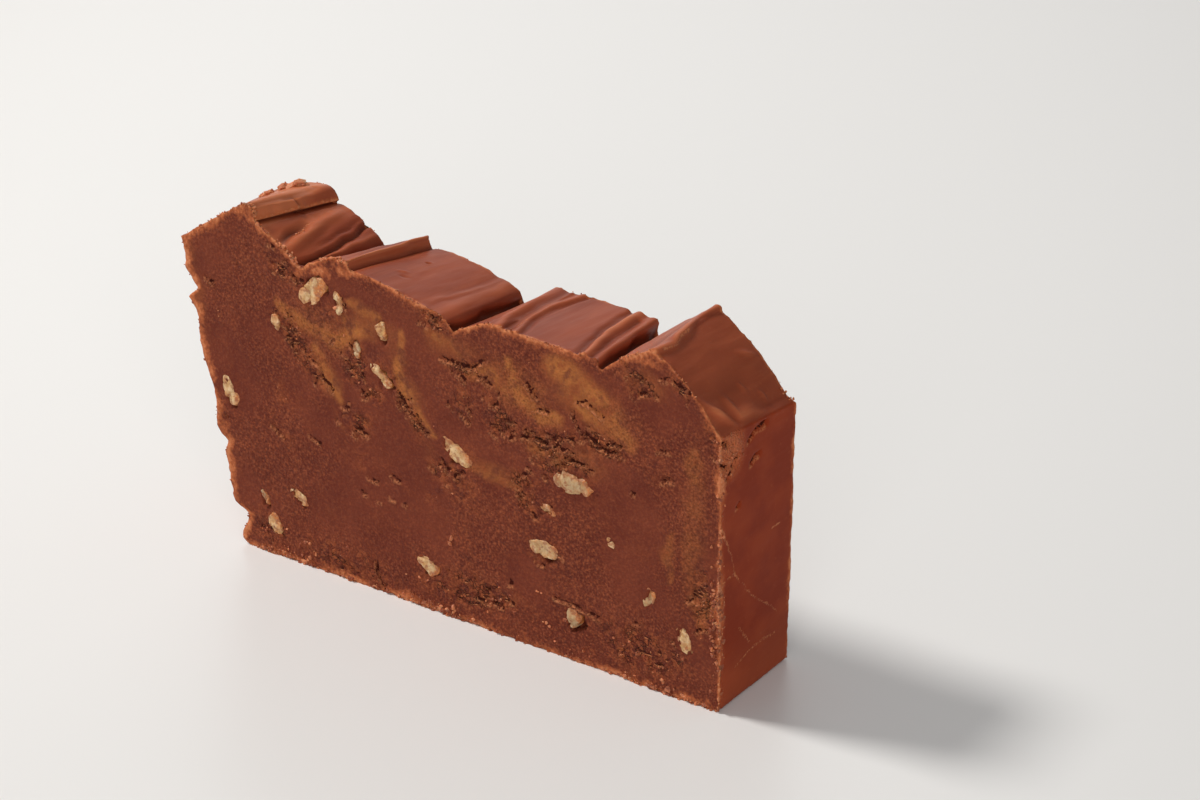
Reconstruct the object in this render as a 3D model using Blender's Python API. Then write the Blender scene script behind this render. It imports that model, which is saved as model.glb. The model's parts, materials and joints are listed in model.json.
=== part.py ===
"""A slice of walnut fudge, cut across a paddled slab loaf and stood on its base.

Metres, +Z up. The sizes below are in millimetres, and MM turns them into metres. The origin is the
middle of the base. The front cut face looks along -Y, the back one along +Y, and +X runs along the
slice to its upright end. The other end leans out over the base.
"""
import math
import random
from collections import namedtuple

import bmesh
import bpy
from mathutils import Matrix, Vector, noise

MM = 0.001

THICKNESS = 24.0
BASE_LENGTH = 110.0
BASE_ROUND = 1.2          # the foot of both ends is drawn in below this height

# Each end follows a line from its foot, given as how far outside the base's end it starts, to its
# corner, given as (x, z). Pairs are for the front cut and for the back one.
LEFT_FOOT = (1.2, 1.2)
LEFT_CORNER = ((-68.4, 61.6), (-71.2, 60.4))
RIGHT_FOOT = (0.5, -0.5)
RIGHT_CORNER = ((55.2, 54.4), (55.0, 52.5))

# Folds that run along the left end: at what height in the front cut, how deep, and how far each
# reaches below and above. A negative depth is a lip that stands out.
Fold = namedtuple("Fold", "height depth below above")
LEFT_FOLDS = (
    Fold(height=6.8, depth=3.0, below=6.0, above=2.0),
    Fold(height=21.3, depth=1.5, below=2.6, above=1.4),
    Fold(height=24.0, depth=-0.8, below=1.2, above=5.0),
    Fold(height=41.0, depth=-0.6, below=9.0, above=6.0),
    Fold(height=49.4, depth=-1.2, below=2.6, above=1.3),
    Fold(height=51.8, depth=1.2, below=1.4, above=2.6),
    Fold(height=55.6, depth=-0.6, below=2.0, above=1.4),
)
BACK_FOLD_DROP = 1.4      # how much lower the folds lie at the back cut
END_REACH = 0.12          # share of the slice's length over which an end's folds die out

# The top is four waves left by the paddle. A wave rises from its start to its crest, ends there in a
# rolled lip, steps down by the lip's drop and runs on as a panel to its end, which falls to the next
# start. Bows are how far a stretch bulges above its chord.
Cut = namedtuple("Cut", "start crest end rise_bow lip drop panel_bow")
FRONT_WAVES = (
    Cut((-68.4, 61.6), (-52.4, 72.4), (-40.2, 63.0), rise_bow=0.5, lip=1.6, drop=3.0, panel_bow=0.2),
    Cut((-39.2, 62.5), (-32.4, 66.3), (-5.2, 60.9), rise_bow=0.6, lip=4.0, drop=1.1, panel_bow=0.7),
    Cut((-3.8, 58.8), (4.4, 62.8), (27.6, 62.0), rise_bow=0.4, lip=2.8, drop=0.3, panel_bow=0.2),
    Cut((29.6, 60.5), (40.4, 67.1), (53.8, 55.6), rise_bow=0.7, lip=0.8, drop=0.5, panel_bow=1.3),
)
BACK_WAVES = (
    Cut((-71.2, 60.4), (-54.4, 68.2), (-38.4, 59.6), rise_bow=1.4, lip=3.6, drop=2.6, panel_bow=0.8),
    Cut((-36.6, 57.9), (-30.0, 63.4), (-6.4, 57.9), rise_bow=0.6, lip=2.4, drop=1.7, panel_bow=1.2),
    Cut((-4.8, 55.4), (3.2, 61.2), (24.0, 60.2), rise_bow=0.5, lip=2.8, drop=0.4, panel_bow=0.4),
    Cut((25.6, 56.9), (37.4, 66.3), (53.2, 53.2), rise_bow=0.5, lip=0.8, drop=0.5, panel_bow=1.3),
)
LIP_ROLL = 0.25           # share of the lip's drop that is lost before its edge
LIP_UNDERCUT = 0.5        # how far the step under a lip's edge slopes outwards

RISE_STEPS = 3            # pieces of mesh along a rise
PANEL_STEPS = 5           # and along a panel
DEPTH_STEPS = 8           # and from cut to cut
ROW_HEIGHT = 4.4          # usual height of a mesh row up the slice
LEAST_ROW = 1.1

CUT_RELIEF = 0.30         # the knife leaves the cut faces this uneven
END_RELIEF = 0.45         # and the left end is this rough
RELIEF_SIZE = 7.0         # the width of those bumps
ARRIS_WEAR = 0.7          # the edge round the base is crumbled back by up to this
CRUMB_SIZE = 2.5          # in bites of this width

# Walnut pieces that show in the front cut. Slant is in degrees, anticlockwise from +X.
Nut = namedtuple("Nut", "x z length width slant")
FRONT_NUTS = (
    Nut(-58.4, 31.9, length=6.6, width=3.6, slant=118),
    Nut(-50.7, 11.9, length=4.0, width=1.8, slant=120),
    Nut(-48.0, 6.6, length=5.4, width=2.4, slant=116),
    Nut(-42.0, 14.3, length=4.9, width=1.7, slant=150),
    Nut(-36.8, 58.8, length=9.2, width=4.8, slant=48),
    Nut(-30.4, 57.4, length=4.9, width=2.5, slant=108),
    Nut(-46.1, 49.8, length=4.7, width=1.7, slant=102),
    Nut(-20.4, 54.7, length=5.2, width=3.3, slant=100),
    Nut(-26.5, 49.0, length=4.0, width=1.7, slant=112),
    Nut(-20.9, 45.6, length=6.3, width=2.1, slant=143),
    Nut(-2.9, 34.8, length=9.9, width=3.6, slant=152),
    Nut(23.5, 36.2, length=9.6, width=4.3, slant=178),
    Nut(17.4, 29.3, length=4.8, width=2.3, slant=160),
    Nut(16.8, 21.0, length=8.0, width=4.1, slant=6),
    Nut(31.9, 26.7, length=3.1, width=1.6, slant=132),
    Nut(-10.4, 9.4, length=6.2, width=2.9, slant=150),
    Nut(23.4, 8.7, length=4.1, width=3.5, slant=95),
    Nut(40.3, 18.4, length=5.2, width=2.9, slant=76),
    Nut(48.2, 12.3, length=6.6, width=3.0, slant=120),
)
# The back cut isn't seen, so its pieces are drawn at random in the same range of sizes.
BACK_NUT_COUNT = 10
BACK_NUT_LENGTHS = (4.0, 9.5)
BACK_NUT_SLIMNESS = (0.35, 0.6)
BACK_NUT_LEAST_WIDTH = 1.8
BACK_NUT_SPACING = 13.0
BACK_NUT_X = (-56.0, 47.0)
BACK_NUT_Z = (8.0, 50.0)
BACK_SEED = 11

NUT_LUMPS = 0.22          # how much a nut's surface swells and shrinks, as a share of its size
NUT_LUMP_COUNT = 1.3      # how many lumps lie along its half length
NUT_SUNK = 0.30           # share of its thickness by which its middle lies behind the cut
NUT_PROUD = 0.15          # how far a cut nut stands out of the cut face
NUT_GAP = 0.3             # clearance between a nut and its pocket

FUDGE_COLOUR = (0.155, 0.043, 0.024, 1.0)
FUDGE_ROUGHNESS = 0.45
WALNUT_COLOUR = (0.56, 0.41, 0.22, 1.0)
WALNUT_ROUGHNESS = 0.6
SHARP_ANGLE = math.radians(35)


def clear_scene():
    for obj in list(bpy.data.objects):
        bpy.data.objects.remove(obj)


def new_collection(name):
    made = bpy.data.collections.new(name)
    bpy.context.scene.collection.children.link(made)
    return made


def new_material(name, colour, roughness):
    made = bpy.data.materials.new(name)
    made.use_nodes = True
    shader = made.node_tree.nodes["Principled BSDF"]
    shader.inputs["Base Color"].default_value = colour
    shader.inputs["Roughness"].default_value = roughness
    shader.inputs["Metallic"].default_value = 0.0
    return made


def new_object(name, bm, collection):
    mesh = bpy.data.meshes.new(name)
    bm.to_mesh(mesh)
    bm.free()
    mesh.shade_smooth()
    mesh.set_sharp_from_angle(angle=SHARP_ANGLE)
    made = bpy.data.objects.new(name, mesh)
    collection.objects.link(made)
    return made


def bowed(a, b, bow, steps):
    """Points from a to just before b, on a parabola that stands bow above the chord."""
    points = []
    for i in range(steps):
        t = i / steps
        x = a[0] + (b[0] - a[0]) * t
        z = a[1] + (b[1] - a[1]) * t + 4 * bow * t * (1 - t)
        points.append((x, z))
    return points


def top_outline(waves, corner):
    """The top edge of one cut face, from the left corner to the right one, as (x, z) points."""
    points = []
    for cut in waves:
        crest_x, crest_z = cut.crest
        lip_x = crest_x + cut.lip
        points += bowed(cut.start, cut.crest, cut.rise_bow, RISE_STEPS)
        points += [cut.crest, (lip_x, crest_z - LIP_ROLL * cut.drop)]
        step_foot = (lip_x + LIP_UNDERCUT, crest_z - cut.drop)
        points += bowed(step_foot, cut.end, cut.panel_bow, PANEL_STEPS)
        points.append(cut.end)
    return points + [corner]


def chord_shares(points):
    """How far along the outline each point lies, from 0 to 1."""
    lengths = [0.0]
    for a, b in zip(points, points[1:]):
        lengths.append(lengths[-1] + math.dist(a, b))
    return [length / lengths[-1] for length in lengths]


def drawn_in(z, foot):
    """How far the round at the base draws an end in at height z."""
    return foot * max(0.0, 1.0 - z / BASE_ROUND)


def left_folds(z, side):
    """How far the folds draw the left end in at height z. side is 0 at the front cut, 1 at the back."""
    total = 0.0
    for fold in LEFT_FOLDS:
        rise = z - fold.height + BACK_FOLD_DROP * side
        reach = fold.below if rise < 0 else fold.above
        total += fold.depth * max(0.0, 1.0 - abs(rise) / reach)
    return total


def row_shares():
    """Shares of the height at which the mesh has a row: evenly spaced, and at every fold."""
    top = LEFT_CORNER[0][1]
    wanted = {BASE_ROUND}
    for fold in LEFT_FOLDS:
        wanted |= {fold.height, fold.height - fold.below, fold.height + fold.above}
    rows = [0.0]
    for z in sorted(w for w in wanted if 0 < w < top - LEAST_ROW) + [top]:
        while z - rows[-1] > 1.5 * ROW_HEIGHT:
            rows.append(rows[-1] + ROW_HEIGHT)
        if z - rows[-1] >= LEAST_ROW:
            rows.append(z)
    return [z / top for z in rows]


def section_point(top, shares, side, column, v):
    """A point of one cut's (x, z) face, in a column of the top outline, at share v of its height."""
    u = shares[column]
    left = -BASE_LENGTH / 2 - LEFT_FOOT[side]
    right = BASE_LENGTH / 2 + RIGHT_FOOT[side]
    x = (1 - v) * (left + (right - left) * u) + v * top[column][0]
    z_left, z_right = v * top[0][1], v * top[-1][1]
    x += max(0.0, 1 - u / END_REACH) * (drawn_in(z_left, LEFT_FOOT[side]) + left_folds(z_left, side))
    x -= max(0.0, 1 - (1 - u) / END_REACH) * drawn_in(z_right, RIGHT_FOOT[0])
    return x, v * top[column][1]


def relief(point, size, amount):
    return amount * noise.noise(Vector(point) / size)


def loop_cut_box(columns, depths, rows):
    """A cube primitive with corners at whole numbers, cut once at each of them on every axis."""
    bm = bmesh.new()
    bmesh.ops.create_cube(bm, size=1.0)
    bmesh.ops.translate(bm, verts=bm.verts, vec=(0.5, 0.5, 0.5))
    bmesh.ops.scale(bm, verts=bm.verts, vec=(columns, depths, rows))
    for axis, count in enumerate((columns, depths, rows)):
        normal = Vector((0.0, 0.0, 0.0))
        normal[axis] = 1.0
        for cut in range(1, count):
            everything = bm.verts[:] + bm.edges[:] + bm.faces[:]
            bmesh.ops.bisect_plane(bm, geom=everything, plane_co=normal * cut, plane_no=normal)
    return bm


def add_slice(collection, material):
    """The fudge: a box whose columns follow the waves of the top and whose rows follow the ends."""
    front = top_outline(FRONT_WAVES, RIGHT_CORNER[0])
    back = top_outline(BACK_WAVES, RIGHT_CORNER[1])
    front_shares, back_shares = chord_shares(front), chord_shares(back)
    rows = row_shares()
    last_column, last_row = len(front) - 1, len(rows) - 1
    bm = loop_cut_box(last_column, DEPTH_STEPS, last_row)
    for vert in bm.verts:
        i, j, k = (round(c) for c in vert.co)
        depth = j / DEPTH_STEPS
        front_x, front_z = section_point(front, front_shares, 0, i, rows[k])
        back_x, back_z = section_point(back, back_shares, 1, i, rows[k])
        x = front_x + (back_x - front_x) * depth
        z = front_z + (back_z - front_z) * depth
        y = THICKNESS * (depth - 0.5)
        if j in (0, DEPTH_STEPS):
            y += relief((x, y, z), RELIEF_SIZE, CUT_RELIEF)
        if i == 0 and 0 < k < last_row:
            x += relief((x, y, z), RELIEF_SIZE, END_RELIEF)
        if k == 0:
            wear = abs(relief((x, y, z), CRUMB_SIZE, ARRIS_WEAR))
            x += wear * ((i == 0) - (i == last_column))
            y += wear * ((j == 0) - (j == DEPTH_STEPS))
        vert.co = Vector((x, y, z)) * MM
    resting = [face for face in bm.faces if all(vert.co.z == 0.0 for vert in face.verts)]
    bmesh.ops.dissolve_faces(bm, faces=resting)
    bmesh.ops.triangulate(bm, faces=bm.faces)
    bmesh.ops.recalc_face_normals(bm, faces=bm.faces)
    made = new_object("fudge_slice", bm, collection)
    made.data.materials.append(material)
    return made


def lumpy_nut(nut, outward, seed, grow=0.0):
    """A walnut piece in its place, behind the cut on the outward side. grow swells it all round."""
    thick = 1.1 * nut.width + 1.0
    bm = bmesh.new()
    bmesh.ops.create_icosphere(bm, subdivisions=2, radius=1.0)
    for vert in bm.verts:
        shift = Vector((seed, 0.0, 0.0))
        vert.co *= 1.0 + NUT_LUMPS * noise.noise(vert.co * NUT_LUMP_COUNT + shift)
        vert.co *= 0.5
    bmesh.ops.scale(bm, verts=bm.verts, vec=(nut.length, thick, nut.width))
    bm.normal_update()
    for vert in bm.verts:
        vert.co += vert.normal * grow
    behind = THICKNESS / 2 - NUT_SUNK * thick
    place = Matrix.Translation((nut.x, outward * behind, nut.z))
    place @= Matrix.Rotation(-math.radians(nut.slant), 4, "Y")
    bmesh.ops.transform(bm, matrix=place, verts=bm.verts)
    return bm


def cut_flush(bm, outward):
    """Trims a nut with the knife's plane, just proud of the cut face it shows in."""
    normal = Vector((0.0, outward, 0.0))
    plane = normal * (THICKNESS / 2 + NUT_PROUD)
    everything = bm.verts[:] + bm.edges[:] + bm.faces[:]
    bmesh.ops.bisect_plane(bm, geom=everything, plane_co=plane, plane_no=normal, clear_outer=True)
    rim = [edge for edge in bm.edges if edge.is_boundary]
    bmesh.ops.edgeloop_fill(bm, edges=rim)
    bmesh.ops.triangulate(bm, faces=bm.faces)
    bmesh.ops.recalc_face_normals(bm, faces=bm.faces)


def add_nut(name, nut, outward, seed, collection, cutters, material):
    """One walnut piece, and the cutter that leaves its pocket in the fudge."""
    centre = Vector((nut.x, outward * THICKNESS / 2, nut.z))
    piece = lumpy_nut(nut, outward, seed)
    cut_flush(piece, outward)
    hollow = lumpy_nut(nut, outward, seed, grow=NUT_GAP)
    for bm in (piece, hollow):
        bmesh.ops.translate(bm, verts=bm.verts, vec=-centre)
        bmesh.ops.scale(bm, verts=bm.verts, vec=(MM, MM, MM))
    made = new_object(name, piece, collection)
    made.location = centre * MM
    made.data.materials.append(material)
    pocket = new_object(name + "_pocket", hollow, cutters)
    pocket.location = centre * MM
    pocket.hide_render = True
    pocket.display_type = "WIRE"


def back_nuts():
    """Walnut pieces for the back cut, spread evenly by throwing away draws that come too close."""
    draw = random.Random(BACK_SEED)
    placed = []
    while len(placed) < BACK_NUT_COUNT:
        length = draw.uniform(*BACK_NUT_LENGTHS)
        width = max(BACK_NUT_LEAST_WIDTH, length * draw.uniform(*BACK_NUT_SLIMNESS))
        nut = Nut(draw.uniform(*BACK_NUT_X), draw.uniform(*BACK_NUT_Z), length, width, draw.uniform(0, 180))
        if all(math.dist((nut.x, nut.z), (old.x, old.z)) > BACK_NUT_SPACING for old in placed):
            placed.append(nut)
    return placed


def main():
    clear_scene()
    parts = new_collection("fudge")
    cutters = new_collection("cutters")
    fudge = new_material("fudge", FUDGE_COLOUR, FUDGE_ROUGHNESS)
    walnut = new_material("walnut", WALNUT_COLOUR, WALNUT_ROUGHNESS)

    slice_of_fudge = add_slice(parts, fudge)
    for number, nut in enumerate(FRONT_NUTS, start=1):
        add_nut(f"walnut_front_{number:02d}", nut, -1, 7 * number, parts, cutters, walnut)
    for number, nut in enumerate(back_nuts(), start=1):
        add_nut(f"walnut_back_{number:02d}", nut, 1, -7 * number, parts, cutters, walnut)

    pockets = slice_of_fudge.modifiers.new("pockets", "BOOLEAN")
    pockets.operation = "DIFFERENCE"
    pockets.operand_type = "COLLECTION"
    pockets.collection = cutters
    pockets.solver = "EXACT"


main()
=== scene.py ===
"""The looks of a slice of walnut fudge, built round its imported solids."""
import itertools
import json
import math
from collections import namedtuple

import bmesh
import bpy
import numpy as np
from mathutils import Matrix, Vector

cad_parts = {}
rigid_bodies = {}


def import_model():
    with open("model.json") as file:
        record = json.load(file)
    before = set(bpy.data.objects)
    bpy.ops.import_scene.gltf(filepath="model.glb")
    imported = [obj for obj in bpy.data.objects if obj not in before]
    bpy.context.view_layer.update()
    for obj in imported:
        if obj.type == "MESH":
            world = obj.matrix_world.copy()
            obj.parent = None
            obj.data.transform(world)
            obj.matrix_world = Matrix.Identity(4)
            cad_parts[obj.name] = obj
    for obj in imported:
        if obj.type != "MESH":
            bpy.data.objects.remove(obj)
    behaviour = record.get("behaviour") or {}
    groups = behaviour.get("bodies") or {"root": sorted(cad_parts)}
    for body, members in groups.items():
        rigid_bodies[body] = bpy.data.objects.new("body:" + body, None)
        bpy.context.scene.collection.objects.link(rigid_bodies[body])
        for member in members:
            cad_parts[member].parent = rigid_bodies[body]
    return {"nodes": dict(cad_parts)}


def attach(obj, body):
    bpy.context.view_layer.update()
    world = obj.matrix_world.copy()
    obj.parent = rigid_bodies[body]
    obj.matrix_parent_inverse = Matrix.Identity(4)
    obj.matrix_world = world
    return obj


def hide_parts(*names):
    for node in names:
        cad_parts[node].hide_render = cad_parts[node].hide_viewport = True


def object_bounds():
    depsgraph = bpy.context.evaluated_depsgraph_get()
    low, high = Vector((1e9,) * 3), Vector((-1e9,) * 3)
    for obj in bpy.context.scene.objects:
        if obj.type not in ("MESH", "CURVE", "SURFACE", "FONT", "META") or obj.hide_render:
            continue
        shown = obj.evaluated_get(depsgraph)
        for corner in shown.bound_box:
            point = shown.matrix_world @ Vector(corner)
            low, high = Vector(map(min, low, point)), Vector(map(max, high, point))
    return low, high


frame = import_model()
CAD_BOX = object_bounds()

# Sizes are in millimetres, and MM turns them into metres.
MM = 0.001

# The box round the solids, a hair smaller everywhere but at the base.
BOX_MARGIN = 0.005
BOX = np.array(CAD_BOX) / MM + ((BOX_MARGIN,) * 3, (-BOX_MARGIN,) * 3)
BOX[0, 2] = 0.0

# The slice's main form, as in its solid: two unlike cut outlines, lofted from one to the other.
THICKNESS = 24.0
BASE_LENGTH = 110.0
BASE_ROUND = 1.2
LEFT_FOOT = 1.2
RIGHT_FOOT = (0.5, -0.5)
RIGHT_CORNER = ((55.2, 54.4), (55.0, 52.5))

# A fold in the leaning end: its height, how deep it is, and how far it reaches below and above.
Fold = namedtuple("Fold", "height depth below above")
LEFT_FOLDS = (
    Fold(6.8, 3.0, 6.0, 2.0),
    Fold(21.3, 1.5, 2.6, 1.4),
    Fold(24.0, -0.8, 1.2, 5.0),
    Fold(41.0, -0.6, 9.0, 6.0),
    Fold(49.4, -1.2, 2.6, 1.3),
    Fold(51.8, 1.2, 1.4, 2.6),
    Fold(55.6, -0.6, 2.0, 1.4),
)
BACK_FOLD_DROP = 1.4
LEFT_SPREAD = 0.45
END_REACH = 0.12

# A wave in a cut outline: three (x, z) points, how far its rise and its panel bow out, and how wide
# the lip on its crest is and how deep the step under it.
Cut = namedtuple("Cut", "start crest end rise_bow lip drop panel_bow")
FRONT_WAVES = (
    Cut((-68.4, 61.6), (-52.4, 72.4), (-40.2, 63.0), 0.5, 1.6, 3.0, 0.2),
    Cut((-39.2, 62.5), (-32.4, 66.3), (-5.2, 60.9), 0.6, 4.0, 1.1, 0.7),
    Cut((-3.8, 58.8), (4.4, 62.8), (27.6, 62.0), 0.4, 2.8, 0.3, 0.2),
    Cut((29.6, 60.5), (40.4, 67.1), (53.8, 55.6), 0.7, 0.8, 0.5, 1.3),
)
BACK_WAVES = (
    Cut((-71.2, 60.4), (-54.4, 68.2), (-38.4, 59.6), 1.4, 3.6, 2.6, 0.8),
    Cut((-36.6, 57.9), (-30.0, 63.4), (-6.4, 57.9), 0.6, 2.4, 1.7, 1.2),
    Cut((-4.8, 55.4), (3.2, 61.2), (24.0, 60.2), 0.5, 2.8, 0.4, 0.4),
    Cut((25.6, 56.9), (37.4, 66.3), (53.2, 53.2), 0.5, 0.8, 0.5, 1.3),
)
LIP_ROLL = 0.25
LIP_UNDERCUT = 0.5

# The first wave's ribbon hangs over: how far its lower edge stands out and wavers up and down, and how
# far the fudge under it is set back and sinks, over how much of its panel's length.
RIBBON_OUT = 0.8
RIBBON_WAVER = 0.35
RIBBON_UNDER = 1.0
RIBBON_DIP = 0.6
TUCK_REACH = 1.8
TUCK_PANEL = 13.0

# The waves run a little askew: how far along x for each millimetre of depth.
WAVE_SKEW = 0.16

# The fine mesh, and the least number of columns on a lip or a step.
COLUMN_WIDTH = 0.52
STEP_WIDTH = 0.45
FEWEST_COLUMNS = 4
ROW_HEIGHT = 0.5
ROWS = 116
DEPTHS = 48

# Heights and depths of the finest relief, and how far it may stand proud of the cut faces and the end.
TEAR_DEPTH = 0.40
LIP_HEIGHT = 0.15
PORE_DEPTH = 0.28
POCKET_DEPTH = 1.6
CLUMP_HEIGHT = 0.50
CRACK_DEPTH = 0.9
BASE_WEAR = 0.35
CUT_PROUD = 0.14
END_PROUD = 0.15
LEFT_PROUD = 0.3

# A fold this high or deep gets the fullest painted glow if raised, or the fullest painted shade if sunk.
FULL_FOLD = 0.8

# How far round the middle of a tear or of a nut the cut is looked at.
TEAR_ZONE = 8
NUT_ZONE = 12

# Folds in the waved top. Each runs along a line of (x, y) points. lean pushes its crest along x, so
# that it hangs over, taper fades it towards its ends, and ragged makes it uneven.
Ridge = namedtuple("Ridge", "path width height lean taper ragged", defaults=(0.0, 0.0, 0.25))
RIDGES = (
    # First wave: the ribbon over its crest, and the folds down to the first valley.
    Ridge(((-51.3, -11), (-51.5, -4), (-51.9, 4), (-52.5, 8)), 0.7, -0.55, taper=0.4),
    Ridge(((-52.4, 7.5), (-51.8, 11)), 2, 0.55, taper=0.3),
    Ridge(((-50.9, 0.6), (-49.6, 1.2)), 0.45, -0.5, ragged=0.1),
    Ridge(((-54.4, -8), (-55.4, -1), (-56, 4)), 1.8, -0.25, taper=0.6),
    Ridge(((-44.6, -11.6), (-45.5, -7.8), (-46.3, -4.4), (-47, 0)), 1.2, -0.75, taper=1),
    Ridge(((-42.9, -11.6), (-44.2, -6.2), (-45.4, 0), (-47, 9)), 1.5, 0.65, taper=0.8),
    Ridge(((-40.6, -10.5), (-40.4, -5.7), (-40.7, 0), (-41.3, 5), (-42.6, 12)), 0.7, -1.1, lean=0.2),
    Ridge(((-39.7, -9), (-39.6, 0), (-40.2, 11)), 0.9, 0.45, taper=0.5),
    Ridge(((-42, -4), (-42.6, 3), (-44.2, 11)), 0.6, -0.4, lean=0.15, taper=0.8),
    Ridge(((-38.6, -10.5), (-38.2, 0), (-38, 12)), 1, -0.9, taper=0.3),
    # Second wave: a thin blade on its crest, a scar, a burst bubble and a soft right edge.
    Ridge(((-34.8, -10), (-33.6, 0), (-31.6, 12)), 3.4, -1.25, taper=0.35),
    Ridge(((-28.6, -11.8), (-28.7, -5.7), (-28.5, 6), (-28.4, 12)), 0.75, 0.7, lean=0.45, ragged=0.3),
    Ridge(((-27.1, -11.5), (-27, 0), (-26.7, 12)), 0.7, -0.35, lean=-0.2),
    Ridge(((-22.4, -4.2), (-20.7, -3.5)), 0.6, 0.28, taper=0.6),
    Ridge(((-21.2, -5.8), (-18.8, -5)), 0.5, -0.25, taper=0.8),
    Ridge(((-21.5, 3.4), (-21.3, 3.4)), 1, 0.22, ragged=0),
    Ridge(((-21.5, 3.4), (-21.3, 3.4)), 0.55, -0.65, ragged=0),
    Ridge(((-10.6, -9), (-9.9, 1.8), (-10.4, 12)), 0.9, 0.22, taper=0.6),
    Ridge(((-7.6, -12), (-7.8, 0), (-8.4, 12)), 2.4, 0.35),
    Ridge(((-4.1, -11), (-4.4, -3), (-5.2, 12)), 0.8, -0.9, lean=-0.5),
    # Third wave: two ridges along its crest and two before the third valley.
    Ridge(((6.4, -11.5), (4.6, -5.4), (3.7, 0.5), (2, 12)), 1.2, 0.4, lean=0.15),
    Ridge(((8, -10), (6.2, -3), (5.6, 3), (4.9, 12)), 1.5, -0.4),
    Ridge(((9.9, -11.6), (7.8, -5.2), (7.1, 0), (7.4, 5.5), (8.2, 12)), 1.1, 0.36, lean=0.25),
    Ridge(((11.2, -11), (9.1, -4), (8.6, 3), (9.6, 11.5)), 0.8, -0.28),
    Ridge(((24, -11), (22.2, -4.7), (20.8, 1.3), (19.8, 8.1), (19.5, 12)), 1.3, -0.45),
    Ridge(((25.6, -11.6), (23.8, -4.7), (22.5, 1.3), (21.6, 8.1), (21.4, 12)), 1.5, 0.6, lean=-0.1),
    Ridge(((26.8, -11), (25.5, -5), (24.3, 1), (23.1, 9)), 0.8, -0.3),
    Ridge(((27.9, -11.8), (27, -6.5), (26.1, -1), (24.9, 6), (24, 12)), 1, 0.35, lean=0.5),
    Ridge(((29.4, -11), (28.2, -4), (27, 3), (25.8, 11.5)), 1, -0.8, lean=-0.3),
    # Fourth wave: a wandering crest, soft bands on its left and a swirl on its right.
    Ridge(((40.6, -12), (40.8, -5.8), (38.9, 0.5), (37.3, 5.5), (37.7, 12)), 1.3, 0.5, lean=0.25),
    Ridge(((38.2, -11.5), (37.6, -5), (36, 2), (34.8, 9)), 1.1, -0.35, taper=0.6),
    Ridge(((34.8, -11), (33.6, -2), (31.8, 11)), 1.4, 0.38, taper=0.4),
    Ridge(((32.4, -11), (31, 0), (29.4, 11)), 0.9, -0.3, taper=0.6),
    Ridge(((49.2, -11), (50.6, -6), (50, 0), (48.6, 5)), 2.6, -0.28, taper=0.8),
    Ridge(((50.6, -11), (52.6, -8.2), (53.9, -6.2)), 1.1, 0.7, taper=0.6),
    Ridge(((50.8, -4.6), (53.2, -3.8), (53.6, 2.6)), 1.4, 0.6, taper=0.8),
    Ridge(((50.4, 1.6), (50.9, 1.8)), 0.6, 0.35, ragged=0),
    Ridge(((52, 5.3), (52.4, 5.6)), 0.6, 0.35, ragged=0),
    Ridge(((46.2, 6), (47.4, 10.6)), 0.9, 0.35, taper=0.8),
)

# Marbling in the cut faces: a line of (x, z) points in the cut's plane, its half width and strength.
Streak = namedtuple("Streak", "path half_width strength")
CARAMEL = [Streak(*row) for row in (
    (((-16.3, 56), (-16.2, 50), (-15.6, 44.8), (-12.6, 41), (-8.4, 36.9)), 1, 1),
    (((-1, 33.4), (4.5, 32.9), (11.4, 32.3)), 1, 0.5),
    (((-29, 59.2), (-24.5, 58.4), (-21, 57.6)), 1.2, 0.7),
    (((-45.4, 54), (-37.9, 51), (-31, 49.6), (-26.4, 53.5)), 1.7, 1),
    (((-29.5, 54.5), (-24.5, 54)), 1.6, 0.6), (((-36.5, 46.5), (-33.6, 42), (-30.5, 38)), 1.5, 0.8),
    (((-9, 57.4), (-5, 56), (-2, 55)), 1.2, 0.6), (((-1, 52), (5.5, 52.6), (8.4, 50.5)), 1.5, 0.7),
    (((8.8, 56.7), (10, 52.5), (12.6, 48.8), (20, 48)), 1.6, 0.9),
    (((17.6, 58.4), (23, 57), (29.4, 54.5)), 2.3, 1),
    (((24.2, 51.4), (30, 50.4), (36.5, 48.2)), 1.9, 0.9), (((13.7, 41.2), (20.9, 40.3)), 1.2, 0.6),
    (((49.4, 50.6), (49, 44)), 1.2, 0.45), (((45.4, 33), (44.4, 28), (44.5, 23.8)), 1, 0.4),
    (((51.6, 22.8), (51.7, 16.5)), 1.4, 0.6),
)]

# Where the cut face is lighter over a wide area: an ellipse, its half sizes, its slope in degrees and
# its strength. The glows and torn places further down are ellipses too.
Patch = namedtuple("Patch", "x z across up slope strength")
WASHES = [Patch(*row) for row in (
    (11, 52, 11, 6, -6, 0.5), (27, 53, 12, 6, -12, 0.55), (-35, 52, 11, 4.5, -14, 0.45),
    (-23, 55.5, 8, 4, -10, 0.45), (22, 42, 14, 4, -4, 0.4), (-4, 56, 8, 3.5, 0, 0.4),
    (-14, 44, 3.5, 14, 22, 0.35), (4, 33.5, 10, 2.6, -4, 0.4), (-33, 42, 3.2, 7, 30, 0.4),
    (38, 61, 7, 3.4, -14, 0.45), (49.5, 35, 3, 20, 0, 0.3), (-66, 50, 3, 14, 8, 0.3),
)]

# Where the fudge is thin and the cut face gets a painted orange glow, as if light shone through it.
GLOWS = [Patch(*row) for row in (
    (-34.6, 63, 3.4, 2, 28, 0.85), (-29.5, 64.2, 3, 1.6, -18, 0.75), (-51, 69.8, 3, 1.8, 0, 0.65),
    (38.5, 64.6, 6, 1.8, -4, 0.6), (-2, 60.4, 5, 1.4, 10, 0.45), (-39.6, 61.6, 2.4, 1.6, -20, 0.6),
    (-69.5, 56, 2.4, 6, 0, 0.45), (-60.4, 22, 2.6, 5, 0, 0.55), (51.5, 18, 1.6, 8, 0, 0.45),
)]

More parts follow.
